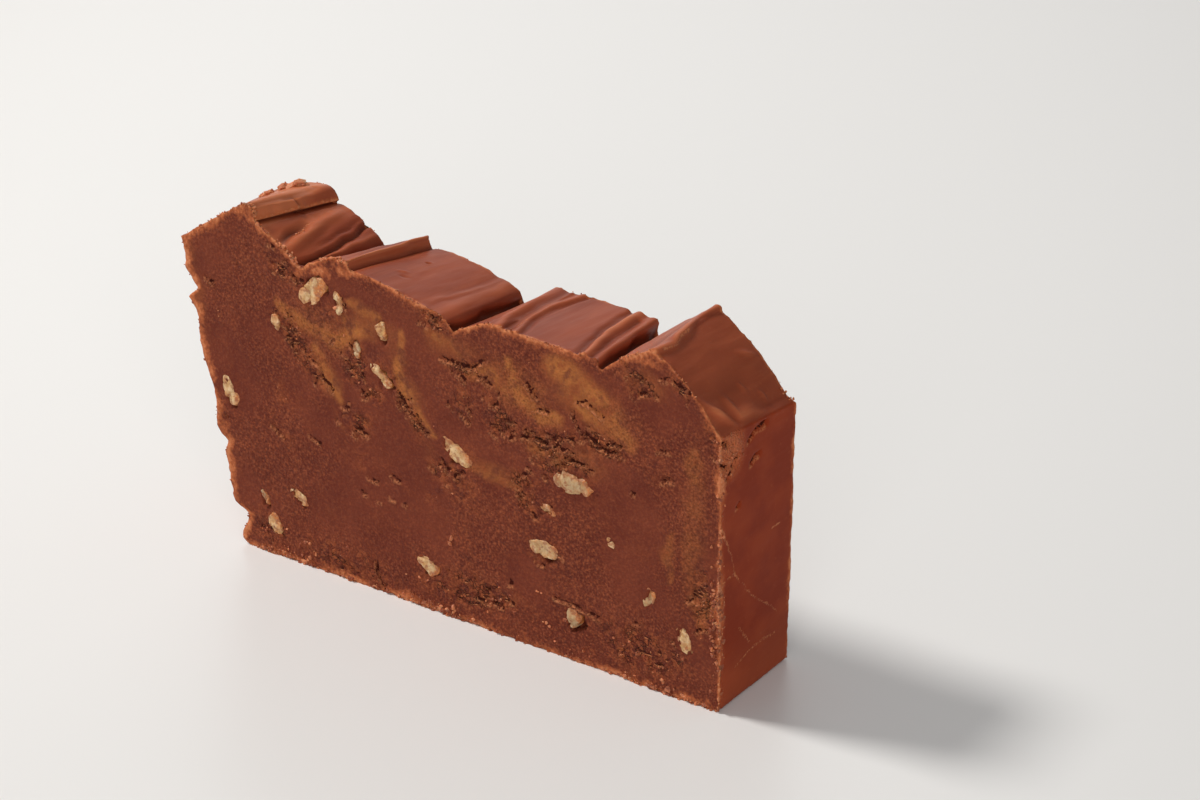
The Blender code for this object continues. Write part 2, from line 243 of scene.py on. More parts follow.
# Tears that the knife left in the cut face, each along a line of (x, z) points.
Tear = namedtuple("Tear", "path half_width")
TEARS = [Tear(*row) for row in (
    (((-6.6, 53.1), (-4.7, 53), (-2, 53.2), (0.6, 53.1)), 0.3),
    (((0.6, 53.1), (2.6, 54.4), (4, 55.4)), 0.22), (((-2.7, 51.4), (-0.9, 50.1)), 0.3),
    (((1.8, 51.7), (5.2, 50.8)), 0.28), (((13.2, 53.5), (14.1, 52.4), (15, 51.3)), 0.32),
    (((-16.6, 43.4), (-14.6, 40.8), (-12.9, 39), (-9.8, 37)), 0.3),
    (((-26.8, 33.3), (-24.2, 32.4)), 0.28),
    (((24.3, 52.9), (26.1, 53.4), (27.8, 52.7), (30, 51.6)), 0.34),
    (((23.2, 50.7), (24.8, 47.5)), 0.26), (((14.5, 48.4), (17.9, 49.3)), 0.18),
    (((11.9, 42.5), (14.9, 43.1), (17.5, 42.5)), 0.34), (((19, 43.2), (21.4, 42.6)), 0.38),
    (((18.3, 44.4), (23.4, 45.2)), 0.2), (((26.1, 47.3), (28, 46.2), (30, 45.1), (33.7, 44.9)), 0.3),
    (((30.8, 46.7), (33.7, 46.8)), 0.28), (((21.2, 41), (24.5, 40.9), (27.8, 40.2)), 0.24),
    (((42.9, 42.5), (43.9, 43.3), (45.1, 43.3)), 0.34), (((41.6, 48.5), (44.5, 48.8)), 0.18),
    (((45, 62.6), (46.7, 62), (48.2, 61.3), (47.9, 59.3)), 0.28), (((36.4, 38.5), (36.9, 38.4)), 0.32),
    (((14.4, 53.1), (14.6, 51.2)), 0.2), (((0.6, 6.4), (3.4, 6.1), (6.9, 6)), 0.3),
    (((8.8, 12), (9.2, 11.8)), 0.38), (((8.8, 7.9), (9.4, 7.7)), 0.38),
    (((-35, 41.9), (-32.4, 39.6)), 0.38), (((-64.1, 54.9), (-63.1, 54.3), (-61.6, 54.1)), 0.26),
    (((-47.9, 28.1), (-45.5, 26.3)), 0.22), (((-39.2, 28.7), (-36, 27.5)), 0.24),
    (((-24.9, 24), (-22.1, 23.4)), 0.22), (((-18.9, 25.6), (-16.7, 25)), 0.22),
    (((-6.6, 32.4), (-5.6, 30.8)), 0.42), (((-3.6, 29.9), (-1.9, 31.4)), 0.34),
    (((18.5, 12), (22.6, 11.8), (29.4, 10.9)), 0.24), (((-26, 20.2), (-24.6, 19.6)), 0.18),
    (((-22.9, 19.6), (-21.5, 19.2)), 0.18), (((-19.5, 21.2), (-18.1, 20.8)), 0.2),
    (((-16.6, 20.9), (-15.3, 20.6)), 0.16), (((-32.6, 50.1), (-31.8, 49.7)), 0.26),
    (((-27.1, 49.5), (-26.3, 49.1)), 0.26), (((-41.4, 60.6), (-40.4, 59.6)), 0.3),
    (((-29.6, 58.6), (-28.6, 57.4)), 0.3), (((-23.4, 6.3), (-22.9, 3.6), (-21.5, 0.6)), 0.24),
)]

# Cracks in the right end, each along a line of (y, z) points.
END_CRACKS = [Tear(*row) for row in (
    (((-3.1, 50.7), (-0.3, 51.9), (2.4, 52)), 0.36), (((-2.3, 45.7), (-1, 46.6), (0.4, 46.8)), 0.36),
    (((-7.8, 47.9), (-6.5, 49.2)), 0.36), (((-11.6, 49.5), (-9.6, 47.8)), 0.36),
    (((-11.4, 53.4), (-9.4, 52.2)), 0.36), (((-9.8, 45.6), (-8.6, 46.8)), 0.36),
    (((-6.6, 39.1), (-5.9, 39.5)), 0.28),
)]

# Fine pale lines on the top, as (x, y) points: crumbled lines, and a painted highlight along the blade's
# crest.
TOP_LINES = (
    ((-45.4, -5.3), (-46.4, -2.3), (-46.8, -0.1), (-46.7, 1.2)),
    ((-28.4, -11.9), (-28.6, -9), (-28.7, -6)),
    ((8.4, -8.6), (7.7, -5)),
    ((41.2, -10), (41.3, -5.8), (39.6, 0)),
)

# Fine pale cracks in the skin of the right end, as (y, z) points.
PALE_LINES = (
    ((-11.8, 25.9), (-6.9, 26.1), (-6.1, 24.8), (-3.5, 21.7), (-0.2, 18.1), (4.3, 15), (7.4, 12)),
    ((-6.9, 26.1), (-8.1, 30.2), (-10.3, 34.3), (-11.8, 37.6)),
    ((-6.7, 7.1), (-2.4, 8.2), (2, 8.3), (7.2, 7.9)),
    ((-5.4, 14.4), (-1.8, 10.1)),
    ((4.5, 30), (5.9, 30.3), (7.5, 29.8)),
)

# Where the cut face is torn and crumbly. Small tears are strewn there: how many for each square
# millimetre of the half sizes' product, and the height under which there are none.
TEARS_PER_AREA = 0.45
TEARS_FROM = 11.0
TORN = [Patch(*row) for row in (
    (7, 44.2, 4.2, 3.2, -5, 1), (-13.8, 39.8, 6, 2.4, -44, 1), (-1.4, 45.2, 3.4, 4, 0, 0.65),
    (-27.3, 34.2, 5, 4, 0, 0.65), (-22.4, 41.2, 3, 3, 0, 0.7), (-39.8, 45.6, 10, 3.2, -51, 0.8),
    (-27, 45.5, 3.6, 4.6, 0, 0.8), (16.5, 42.8, 7.5, 2.3, 4, 0.95), (21, 44.8, 4.5, 1.6, 8, 0.9),
    (29.5, 46, 6, 2.6, -8, 1), (22.5, 40.6, 7, 2.2, -6, 0.8), (37, 60.2, 5.5, 3, -10, 0.8),
    (46.4, 61.8, 4.4, 1.8, -34, 0.6), (-44.2, 61.8, 7, 2.6, -37, 0.7), (-7.8, 60, 5.5, 2.4, -14, 0.8),
    (-1, 52.6, 6, 2.2, 4, 0.7), (5.5, 48.5, 3.5, 3, 0, 0.55), (-6, 30.4, 4.6, 3, -10, 0.9),
    (19.5, 38.2, 7, 2.6, -5, 0.6), (14.5, 29.5, 5, 3.6, 0, 0.6), (17, 20.5, 5, 3, 0, 0.5),
    (38, 7.5, 12, 5.5, 0, 0.85), (-50, 5, 6, 5, 0, 0.6), (-31, 4.2, 13, 4.4, 0, 0.6),
    (0, 7, 15, 5, 4, 0.65), (51.5, 22, 2.6, 9, 0, 0.8), (12, 33.5, 5, 3, 0, 0.5),
    (53.4, 53.6, 1.8, 5, 20, 0.45),
)]

# Heaps of crumbs on the top: the middle (x, y), how many, half the heap's size, the least and largest
# radius.
CRUMB_HEAPS = (
    ((-51.4, -11.5), 26, (1, 0.5), 0.16, 0.42),
    ((-50, -11.6), 14, (0.5, 0.4), 0.14, 0.34),
    ((-58.2, 7.6), 18, (2.8, 1), 0.7, 1.25),
    ((-61.4, 4.6), 12, (1.6, 2.4), 0.45, 0.85),
    ((-43.4, -11.5), 26, (2.4, 0.4), 0.14, 0.34),
    ((-41.6, -11.4), 16, (0.9, 0.5), 0.15, 0.38),
    ((-32, -11.5), 26, (3.2, 0.4), 0.16, 0.4),
    ((-45.6, -5.6), 7, (0.4, 1.6), 0.1, 0.2),
    ((53.4, 11.4), 10, (1.2, 0.5), 0.14, 0.3),
)

# Single crumbs on the front cut face: the place (x, z), the radius and how light it is.
CRUMB_MARKS = (
    ((-5.1, 16.6), 0.6, 0.55), ((-5.2, 15.8), 0.45, 0.45), ((14.7, 11.8), 0.22, 1),
    ((15.3, 11.8), 0.26, 1), ((15.9, 11.7), 0.2, 1), ((16.4, 5.8), 0.34, 0.8), ((17.1, 5.7), 0.38, 0.8),
    ((17.8, 5.6), 0.28, 0.7), ((-60.6, 47.3), 0.16, 1), ((-60.3, 48.3), 0.12, 1),
    ((-30.4, 57), 0.4, 0.9), ((-31.2, 56.5), 0.45, 0.9),
)

# Nuts whose flesh is greyed or smeared over, from 0 to 1.
DULL_NUTS = {
    "walnut_front_02": 0.7, "walnut_front_12": 0.4, "walnut_front_13": 0.3, "walnut_front_14": 0.2,
    "walnut_front_17": 0.5, "walnut_front_18": 0.5, "walnut_front_09": 0.5, "walnut_back_04": 0.4,
}

# Camera, solved from the corners of the base and of the upright end: its place in metres and the
# direction that it looks in.
CAMERA_PLACE = (0.3713, -0.4805, 0.3290)
CAMERA_AIM = (-0.53294, 0.73021, -0.42752)
CAMERA_LENS = 109.4
SENSOR_WIDTH = 36.0

# The stage, in metres and watts: round lights aimed at the slice, an even light from all round, and
# the floor.
Light = namedtuple("Light", "name place size power colour", defaults=((1, 1, 1),))
LIGHTS = (
    Light("window", (-0.70, -0.17, 0.87), 0.26, 10.0, (1.0, 0.985, 0.96)),
    Light("bounce", (0.66, -0.90, 0.42), 0.9, 5.8),
    Light("wall", (-0.55, 0.85, 0.45), 0.8, 1.3),
)
LIGHT_AIM = (0.0, 0.0, 0.03)
WORLD_STRENGTH = 0.25
FLOOR_REACH = 4.0


# Noise

def hashed(cells, seed):
    """A repeatable random number from 0 to 1 for each row of three whole numbers in cells."""
    mixed = np.full(cells.shape[:-1], seed * 668265263 + 374761393, np.int64)
    for axis, prime in enumerate((73856093, 19349663, 83492791)):
        mixed ^= cells[..., axis] * prime
    mixed &= 0xFFFFFFFF
    mixed = (mixed ^ (mixed >> 13)) * 1274126177
    mixed &= 0xFFFFFFFF
    mixed = (mixed ^ (mixed >> 15)) * 2246822519
    mixed &= 0xFFFFFFFF
    return (mixed ^ (mixed >> 16)) / 0xFFFFFFFF


def bumps(points, size, seed):
    """Smooth noise from -1 to 1 with bumps about that size across."""
    scaled = points / size
    corner = np.floor(scaled).astype(np.int64)
    t = scaled - corner
    t = t * t * (3 - 2 * t)
    total = np.zeros(len(points))
    for offset in itertools.product((0, 1), repeat=3):
        weight = np.prod(np.where(offset, t, 1 - t), axis=1)
        total += weight * hashed(corner + offset, seed)
    return 2 * total - 1


def rough(points, size, octaves, seed):
    """Noise with finer bumps on its bumps, each octave half the size and half the height."""
    return sum(bumps(points, size / 2 ** n, seed + 17 * n) / 2 ** n for n in range(octaves))


def wander(points, size, seed):
    """Smooth noise from -1 to 1 for both directions of a plane."""
    return np.stack([bumps(points, size, seed), bumps(points, size, seed + 1)], axis=1)


def nearest_seed(points, size, seed):
    """Seeds lie scattered, one to a cell of that size. For each point: how far the nearest seed is, as
    a share of size, and a random number from 0 to 1 that the seed carries."""
    scaled = points / size
    home = np.floor(scaled).astype(np.int64)
    best = np.full(len(points), 9.0)
    label = np.zeros(len(points))
    for offset in itertools.product((-1, 0, 1), repeat=3):
        cell = home + offset
        place = cell + np.stack([hashed(cell, seed + n) for n in (1, 2, 3)], axis=1)
        gap = np.linalg.norm(scaled - place, axis=1)
        closer = gap < best
        best = np.where(closer, gap, best)
        label = np.where(closer, hashed(cell, seed), label)
    return best, label


def ramp(value, low, high):
    """0 where value is at low, 1 at high, and a smooth change between. high may be the smaller."""
    t = np.clip((value - low) / (high - low), 0, 1)
    return t * t * (3 - 2 * t)


def turned(x, z, angle):
    """The same places along axes that are turned by that angle."""
    return x * math.cos(angle) + z * math.sin(angle), z * math.cos(angle) - x * math.sin(angle)


def path_distance(points, path):
    """Each point's distance in the plane to a line of points, and the share of the line it lies at."""
    best = np.full(len(points), 1e9)
    along = np.zeros(len(points))
    path = np.array(path, float)
    for n, (a, b) in enumerate(zip(path, path[1:])):
        if np.array_equal(a, b):
            continue
        t = np.clip((points - a) @ (b - a) / ((b - a) @ (b - a)), 0, 1)
        gap = np.linalg.norm(points - (a + t[:, None] * (b - a)), axis=1)
        closer = gap < best
        best = np.where(closer, gap, best)
        along = np.where(closer, (n + t) / (len(path) - 1), along)
    return best, along


def nearness(points, lines, reach):
    """1 on the nearest of the lines, and 0 from that reach outwards."""
    return np.max([1 - path_distance(points, line)[0] / reach for line in lines], axis=0).clip(0)


def placed(name, data):
    """A new object in the scene."""
    made = bpy.data.objects.new(name, data)
    bpy.context.scene.collection.objects.link(made)
    return made


def add_masks(mesh, masks):
    """Values from 0 to 1 for each point of the mesh, which its material reads by their names."""
    for name, values in masks.items():
        attribute = mesh.attributes.new(name, "FLOAT", "POINT")
        attribute.data.foreach_set("value", np.clip(values, 0, 1).astype(np.float32))


# The slice's form

def stretch(a, b, bow, count):
    """count points from a to just before b, on a parabola that stands bow above the chord."""
    t = np.arange(count) / count
    x = a[0] + (b[0] - a[0]) * t
    z = a[1] + (b[1] - a[1]) * t + 4 * bow * t * (1 - t)
    return np.stack([x, z], axis=1)


def columns_for(a, b):
    return max(2, round(math.dist(a, b) / COLUMN_WIDTH))


# The parts of a wave from left to right, and the values that the materials read at each point.
RISE, ROLL, DROP, PANEL, VALLEY = range(5)
MASKS = ("cut", "end", "caramel", "sandy", "torn", "tear", "lip", "pit", "rim", "thin", "crease", "pale")


def top_outline(waves, corner):
    """The top edge of one cut face as fine (x, z) points, as many for the back cut as for the front.
    With them come the wave, the part of the wave and the share of that part that each point is at."""
    points, labels = [], []
    for n, cut in enumerate(waves):
        front = FRONT_WAVES[n]
        lip = (cut.crest[0] + cut.lip, cut.crest[1] - LIP_ROLL * cut.drop)
        foot = (lip[0] + LIP_UNDERCUT, cut.crest[1] - cut.drop)
        following = waves[n + 1].start if n < 3 else corner
        front_following = FRONT_WAVES[n + 1].start if n < 3 else RIGHT_CORNER[0]
        parts = (
            (cut.start, cut.crest, cut.rise_bow, columns_for(front.start, front.crest)),
            (cut.crest, lip, 0.1 * cut.drop, max(FEWEST_COLUMNS, round(front.lip / COLUMN_WIDTH))),
            (lip, foot, 0.0, max(FEWEST_COLUMNS, round(front.drop / STEP_WIDTH))),
            (foot, cut.end, cut.panel_bow, columns_for(front.crest, front.end)),
            (cut.end, following, 0.0, columns_for(front.end, front_following)),
        )
        for part, (a, b, bow, count) in enumerate(parts):
            points.append(stretch(a, b, bow, count))
            labels.append([(n, part, share) for share in np.arange(count) / count])
    labels.append([(3, VALLEY, 1.0)])
    return np.concatenate(points + [np.array([corner])]), np.concatenate(labels)


def chord_shares(points):
    lengths = np.linalg.norm(np.diff(points, axis=0), axis=1)
    return np.concatenate([[0.0], np.cumsum(lengths)]) / lengths.sum()


def left_folds(z, side):
    total = np.zeros_like(z)
    for fold in LEFT_FOLDS:
        rise = z - fold.height + BACK_FOLD_DROP * side
        reach = np.where(rise < 0, fold.below, fold.above)
        total += fold.depth * ramp(np.abs(rise) / reach, 1.0, 0.0)
    return total


def drawn_in(z, foot):
    return foot * np.clip(1.0 - z / BASE_ROUND, 0, 1) ** 2


def section(top, side, rows):
    """A cut face's points, one row of (x, z) for each column of the outline, from base to top."""
    u = chord_shares(top)[:, None]
    v = rows[None, :]
    left = -BASE_LENGTH / 2 - LEFT_FOOT
    right = BASE_LENGTH / 2 + RIGHT_FOOT[side]
    x = (1 - v) * (left + (right - left) * u) + v * top[:, :1]
    z_left, z_right = v * top[0, 1], v * top[-1, 1]
    near_left = np.clip(1 - u / END_REACH, 0, 1)
    near_right = np.clip(1 - (1 - u) / END_REACH, 0, 1)
    x = x + near_left * (drawn_in(z_left, LEFT_FOOT) + left_folds(z_left, side))
    x = x - near_right * drawn_in(z_right, RIGHT_FOOT[0])
    return np.stack([x, v * top[:, 1:]], axis=2)


class Block:
    """A closed block of quads whose points are found by column, depth and row."""

    def __init__(self):
        front, self.labels = top_outline(FRONT_WAVES, RIGHT_CORNER[0])
        back, _ = top_outline(BACK_WAVES, RIGHT_CORNER[1])
        rows = np.linspace(0, 1, ROWS + 1)
        self.size = (len(front) - 1, DEPTHS, ROWS)
        i, j, k = np.meshgrid(*[np.arange(n + 1) for n in self.size], indexing="ij")
        last_i, last_j, last_k = self.size
        outside = (i % last_i == 0) | (j % last_j == 0) | (k == last_k)
        self.ids = np.full(i.shape, -1)
        self.ids[outside] = np.arange(outside.sum())
        self.i, self.j, self.k = i[outside], j[outside], k[outside]
        depth = (self.j / last_j)[:, None]
        ends = [section(top, side, rows)[self.i, self.k] for side, top in enumerate((front, back))]
        xz = ends[0] * (1 - depth) + ends[1] * depth
        y = THICKNESS * (self.j / last_j - 0.5)
        self.points = np.stack([xz[:, 0], y, xz[:, 1]], axis=1)
        self.faces = np.concatenate([
            self.quads(self.ids[:, 0, :], False), self.quads(self.ids[:, -1, :], True),
            self.quads(self.ids[-1, :, :], False), self.quads(self.ids[0, :, :], True),
            self.quads(self.ids[:, :, -1], False),
        ])
        base = self.ids[:, :, 0]
        self.base_loop = np.concatenate([base[0, :-1], base[:-1, -1], base[-1, :0:-1], base[:0:-1, 0]])
        self.masks = {name: np.zeros(len(self.points)) for name in MASKS}

    @staticmethod
    def quads(grid, flip):
        corners = [grid[:-1, :-1], grid[1:, :-1], grid[1:, 1:], grid[:-1, 1:]]
        if flip:
            corners.reverse()
        return np.stack([c.ravel() for c in corners], axis=1)

    def normals_of(self, grid):
        """Outward normals at a side's points, worked out from the grid's own slopes."""
        place = self.points[grid]
        across = np.gradient(place, axis=0)
        up = np.gradient(place, axis=1)
        normal = np.cross(across, up)
        return normal / np.linalg.norm(normal, axis=2, keepdims=True)

    def mark(self, ids, **masks):
        """Sets masks at those points."""
        for name, values in masks.items():
            self.masks[name][ids] = values

    def mark_more(self, ids, **masks):
        """Sets masks at those points where the new value is the larger."""
        for name, values in masks.items():
            self.masks[name][ids] = np.maximum(self.masks[name][ids], values)

    def mesh(self, name):
        mesh = bpy.data.meshes.new(name)
        faces = self.faces.tolist() + [self.base_loop.tolist()]
        mesh.from_pydata((self.points * MM).tolist(), [], faces)
        mesh.shade_smooth()
        add_masks(mesh, self.masks)
        return mesh


def outline_of(node):
    """The line round a nut where the knife went through it, as (x, z) points."""
    points = np.array([v.co for v in node.data.vertices]) / MM
    rim = points[np.abs(points[:, 1]) > THICKNESS / 2 + 0.1][:, [0, 2]]
    turn = np.arctan2(*(rim - rim.mean(axis=0)).T)
    return rim[np.argsort(turn)]


def nut_outlines(side):
    start = "walnut_" + side
    return [outline_of(node) for name, node in frame["nodes"].items() if name.startswith(start)]


def outline_distance(points, outline):
    """Signed distance from (x, z) points to a closed convex outline, negative inside it."""
    closed = np.concatenate([outline, outline[:1]])
    gap, _ = path_distance(points, closed)
    inside = np.ones(len(points), bool)
    for a, b in zip(closed, closed[1:]):
        edge, to = b - a, points - a
        inside &= edge[0] * to[:, 1] - edge[1] * to[:, 0] <= 0
    return np.where(inside, -gap, gap)


def patches_at(flat, patches, outer, inner):
    """The strength of the strongest patch at each point, from none at outer to all of it at inner."""
    total = np.zeros(len(flat))
    for patch in patches:
        along, up = turned(*(flat - (patch.x, patch.z)).T, math.radians(patch.slope))
        reach = np.hypot(along / patch.across, up / patch.up)
        total = np.maximum(total, patch.strength * ramp(reach, outer, inner))
    return total


def caramel_at(points, flat):
    """How much caramel marbling shows at each point of a cut face."""
    wobble = wander(points, 4.0, 301) + 0.5 * wander(points, 1.6, 303)
    total = patches_at(flat + wobble, WASHES, 1.1, 0.1) * (0.85 + 0.6 * rough(points, 6.0, 3, 306))
    for streak in CARAMEL:
        gap, along = path_distance(flat + wobble * 0.9, streak.path)
        ends = 0.55 + 0.45 * np.sin(np.pi * along)
        total = np.maximum(total, streak.strength * ramp(gap / (streak.half_width * ends), 2.1, 0.2))
    patchy = 0.88 + 0.35 * rough(points, 2.8, 2, 305)
    return total * np.clip(patchy, 0, 1)


def torn_at(points, flat):
    """How torn and crumbly the cut face is at each point."""
    faint = 0.3 * ramp(rough(points, 9.0, 2, 17), 0.1, 0.8)
    total = np.maximum(patches_at(flat, TORN, 1.15, 0.35), faint)
    return np.clip(total * (1.0 + 0.9 * rough(points, 2.6, 2, 18)), 0, 1)


def small_tears():
    """Short tears scattered over the torn places, most of them nearly level."""
    rng = np.random.default_rng(9)
    tears = []
    for patch in TORN:
        turn = math.radians(patch.slope)
        for _ in range(round(patch.strength * patch.across * patch.up * TEARS_PER_AREA)):
            reach, angle = math.sqrt(rng.random()), rng.uniform(0, 2 * math.pi)
            along = patch.across * reach * math.cos(angle)
            up = patch.up * reach * math.sin(angle)
            middle = np.array((patch.x, patch.z)) + turned(along, up, -turn)
            slant = turn / 2 + rng.normal(-0.1, 0.45)
            half = rng.uniform(0.3, 1.0) * np.array((math.cos(slant), math.sin(slant)))
            if middle[1] > TEARS_FROM:
                tears.append(Tear((middle - half, middle + half), rng.uniform(0.1, 0.24)))
    return tears


def tear_field(flat, tears, wobble):
    """0.5 on the edge of a tear, more inside it, and 0 from 0.6 mm outside."""
    field = np.zeros(len(flat))
    for tear in tears:
        near = np.abs(flat - np.mean(tear.path, axis=0)).max(axis=1) < TEAR_ZONE
        gap, _ = path_distance((flat + wobble)[near], tear.path)
        field[near] = np.maximum(field[near], 0.5 + (tear.half_width - gap) / 1.2)
    return np.clip(field, 0, 1)


def tears_and_lips(flat, tears, wobble, shift):
    """The tears' field, and the lips that stand beside them by that shift, with a painted highlight that
    partly stands for lighter crumbled fudge.
    """
    field = tear_field(flat, tears, wobble)
    beside = tear_field(flat + shift, tears, wobble)
    return field, ramp(beside, 0.25, 0.6) * ramp(field, 0.5, 0.3)


def shape_cut(block, side, outward):
    """Relief of a cut face: broad unevenness, tears, pores, crumbs at the base, and nut pockets."""
    ids = block.ids[:, 0 if outward < 0 else -1, :].ravel()
    place = block.points[ids]
    flat = place[:, [0, 2]]
    mirrored = flat * (1 if outward < 0 else -1, 1)
    z = place[:, 2]
    point = np.stack([mirrored[:, 0], np.full(len(ids), 40.0 * outward), z], axis=1)

    caramel = caramel_at(point, mirrored)
    torn = torn_at(point, mirrored)
    low = ramp(z + 3.0 * bumps(point, 9.0, 12), 13.0, 3.0)
    sandy = ramp(rough(point, 12.0, 2, 11), 0.35, -0.35)
    top_gap = (1 - block.k[ids] / ROWS) * z.max()
    sandy = np.maximum(sandy, 0.9 * ramp(top_gap + rough(point, 3.0, 2, 25), 4.0, 0.8))
    sandy = np.clip(np.maximum(sandy, low) + 0.6 * torn, 0, 1)

    height = 0.15 * rough(point, 11.0, 2, 13) - 0.14
    height += torn * (0.17 * rough(point, 1.5, 2, 14) - 0.1)

    wobble = 0.35 * wander(point, 1.3, 15)
    tear, lip = tears_and_lips(mirrored, TEARS + small_tears(), wobble, (0.1, 0.55))
    height += LIP_HEIGHT * lip - TEAR_DEPTH * ramp(tear, 0.35, 0.75)

    along, across = turned(mirrored[:, 0], z, math.radians(-10))
    bent = np.stack([along / 1.7, across + 0.4 * bumps(point, 2.0, 19), point[:, 1]], axis=1)
    gap, label = nearest_seed(bent, 0.95, 20)
    pore = ramp(gap, 0.48, 0.2) * (label < 0.4 * torn - 0.02)
    height -= PORE_DEPTH * pore

    clump_gap, clump_label = nearest_seed(point, 1.2, 21)
    clump = ramp(clump_gap, 0.75, 0.1) * clump_label
    ragged = np.maximum(low * 0.35, low * torn)
    height += ragged * (CLUMP_HEIGHT * clump - 0.3 + 0.2 * rough(point, 3.0, 2, 22))

    pocket = np.zeros(len(ids))
    for outline in nut_outlines(side):
        near = np.abs(flat - outline.mean(axis=0)).max(axis=1) < NUT_ZONE
        uneven = 0.5 * rough(point[near], 2.2, 3, 23)
        reach = outline_distance(flat[near], outline) + uneven
        beside = outline_distance(flat[near] + (-0.3, 0.4), outline) + 2.4 * uneven
        depth = np.maximum(ramp(reach, 0.1, -0.45), ramp(beside, 0.0, -0.4))
        pocket[near] = np.maximum(pocket[near], depth)
    height = height * (1 - pocket) - POCKET_DEPTH * pocket

    edge = ramp(np.minimum(top_gap, z), 1.1, 0.0)
    height += edge * (0.2 * rough(point, 1.3, 2, 24) - 0.08)
    block.points[ids, 1] += outward * np.minimum(height, CUT_PROUD)
    block.mark(ids, caramel=caramel, sandy=sandy, torn=torn, tear=tear, lip=lip)
    # Painted shade in the pores and in the pockets round the nuts.
    block.mark(ids, pit=0.25 * pore + 0.8 * pocket)
    # Painted orange glow where the fudge is thin.
    block.mark_more(ids, rim=patches_at(mirrored + wobble * 2, GLOWS, 1.15, 0.2))


def shape_top(block):
    """Relief of the waved top: its folds, faint drag lines and a worn edge."""
    grid = block.ids[:, :, -1]
    normal = block.normals_of(grid).reshape(-1, 3)
    ids = grid.ravel()
    place = block.points[ids]
    flat = place[:, :2]
    drag = place * (1.0, 0.25, 1.0)
    wobble = np.stack([0.35 * bumps(place, 3.5, 34), np.zeros(len(ids))], axis=1)
    height = 0.14 * rough(drag, 5.0, 2, 31) + 0.04 * rough(drag, 1.4, 2, 32)
    lean = np.zeros(len(ids))
    thin = np.zeros(len(ids))
    crease = np.zeros(len(ids))
    for number, ridge in enumerate(RIDGES):
        gap, along = path_distance(flat + wobble, ridge.path)
        profile = np.clip(1 - (gap / ridge.width) ** 2, 0, 1) ** 2
        profile *= 1 - ridge.taper * (2 * along - 1) ** 2
        profile *= 1 + ridge.ragged * rough(drag, 1.8, 2, 700 + number)
        height += ridge.height * profile
        lean += ridge.lean * profile
        strength = min(1.0, abs(ridge.height) / FULL_FOLD) * profile
        # Raised folds get a painted glow and sunk ones painted shade.
        if ridge.height > 0:
            thin = np.maximum(thin, strength)
        else:
            crease = np.maximum(crease, strength)
    front_gap = place[:, 1] + THICKNESS / 2
    back_gap = THICKNESS / 2 - place[:, 1]
    height += 0.2 * ramp(front_gap, 1.0, 0.0) * rough(place, 1.3, 2, 33)
    height += 0.07 * ramp(back_gap, 0.8, 0.0) * rough(place, 1.3, 2, 35)
    block.points[ids] += normal * height[:, None]
    block.points[ids, 0] += lean

    wave, part, share = block.labels[block.i[ids]].T
    inner = ramp(front_gap, 0.0, 1.0)
    side = (wave == 0) * (part == DROP) * share * inner
    tucked = (wave == 0) * (part == PANEL) * ramp(share * TUCK_PANEL, TUCK_REACH, 0.0) * inner
    uneven = rough(place * (0.0, 1.0, 0.0), 3.2, 3, 36)
    block.points[ids, 0] += RIBBON_OUT * side * (1 + 0.5 * uneven) - RIBBON_UNDER * tucked
    block.points[ids, 2] += RIBBON_WAVER * uneven * side - RIBBON_DIP * tucked
    lower_edge = (wave == 0) * (part == DROP) * ramp(share, 0.4, 0.8)
    blade = (wave == 1) * (part == DROP)
    # Painted glow of thin fudge, and painted light on slopes turned away from the lamps: the ribbon, the
    # fold under it, the last crest, the blade and the last panel.
    x = flat[:, 0] + WAVE_SKEW * front_gap
    thin = np.max([
        thin,
        ramp(x, -46.0, -49.5) * (0.35 + 0.6 * ramp(x, -60.0, -54.0)),
        0.6 * ramp(np.abs(x + 44.5), 3.8, 1.0),
        0.4 * ramp(np.abs(x - 37.0), 5.0, 2.0),
        0.45 * blade,
        0.15 * (wave == 3) * (part == PANEL),
    ], axis=0)
    # Painted shade in the sunk folds, under the ribbon and at the foot of the blade.
    crease = np.max([crease, tucked, 0.8 * blade * ramp(share, 0.6, 1.0)], axis=0)
    block.mark(ids, thin=thin, crease=crease, pale=nearness(flat + wobble, TOP_LINES, 0.7))
    # A pale painted highlight along the ribbon's lower edge.
    block.mark_more(ids, rim=0.95 * lower_edge)


def worn_stretch(z, height=26.0):
    """1 in the most worn stretch of the right arris, and 0 from 12 mm above or below that height."""
    return ramp(np.abs(z - height), 12, 3)


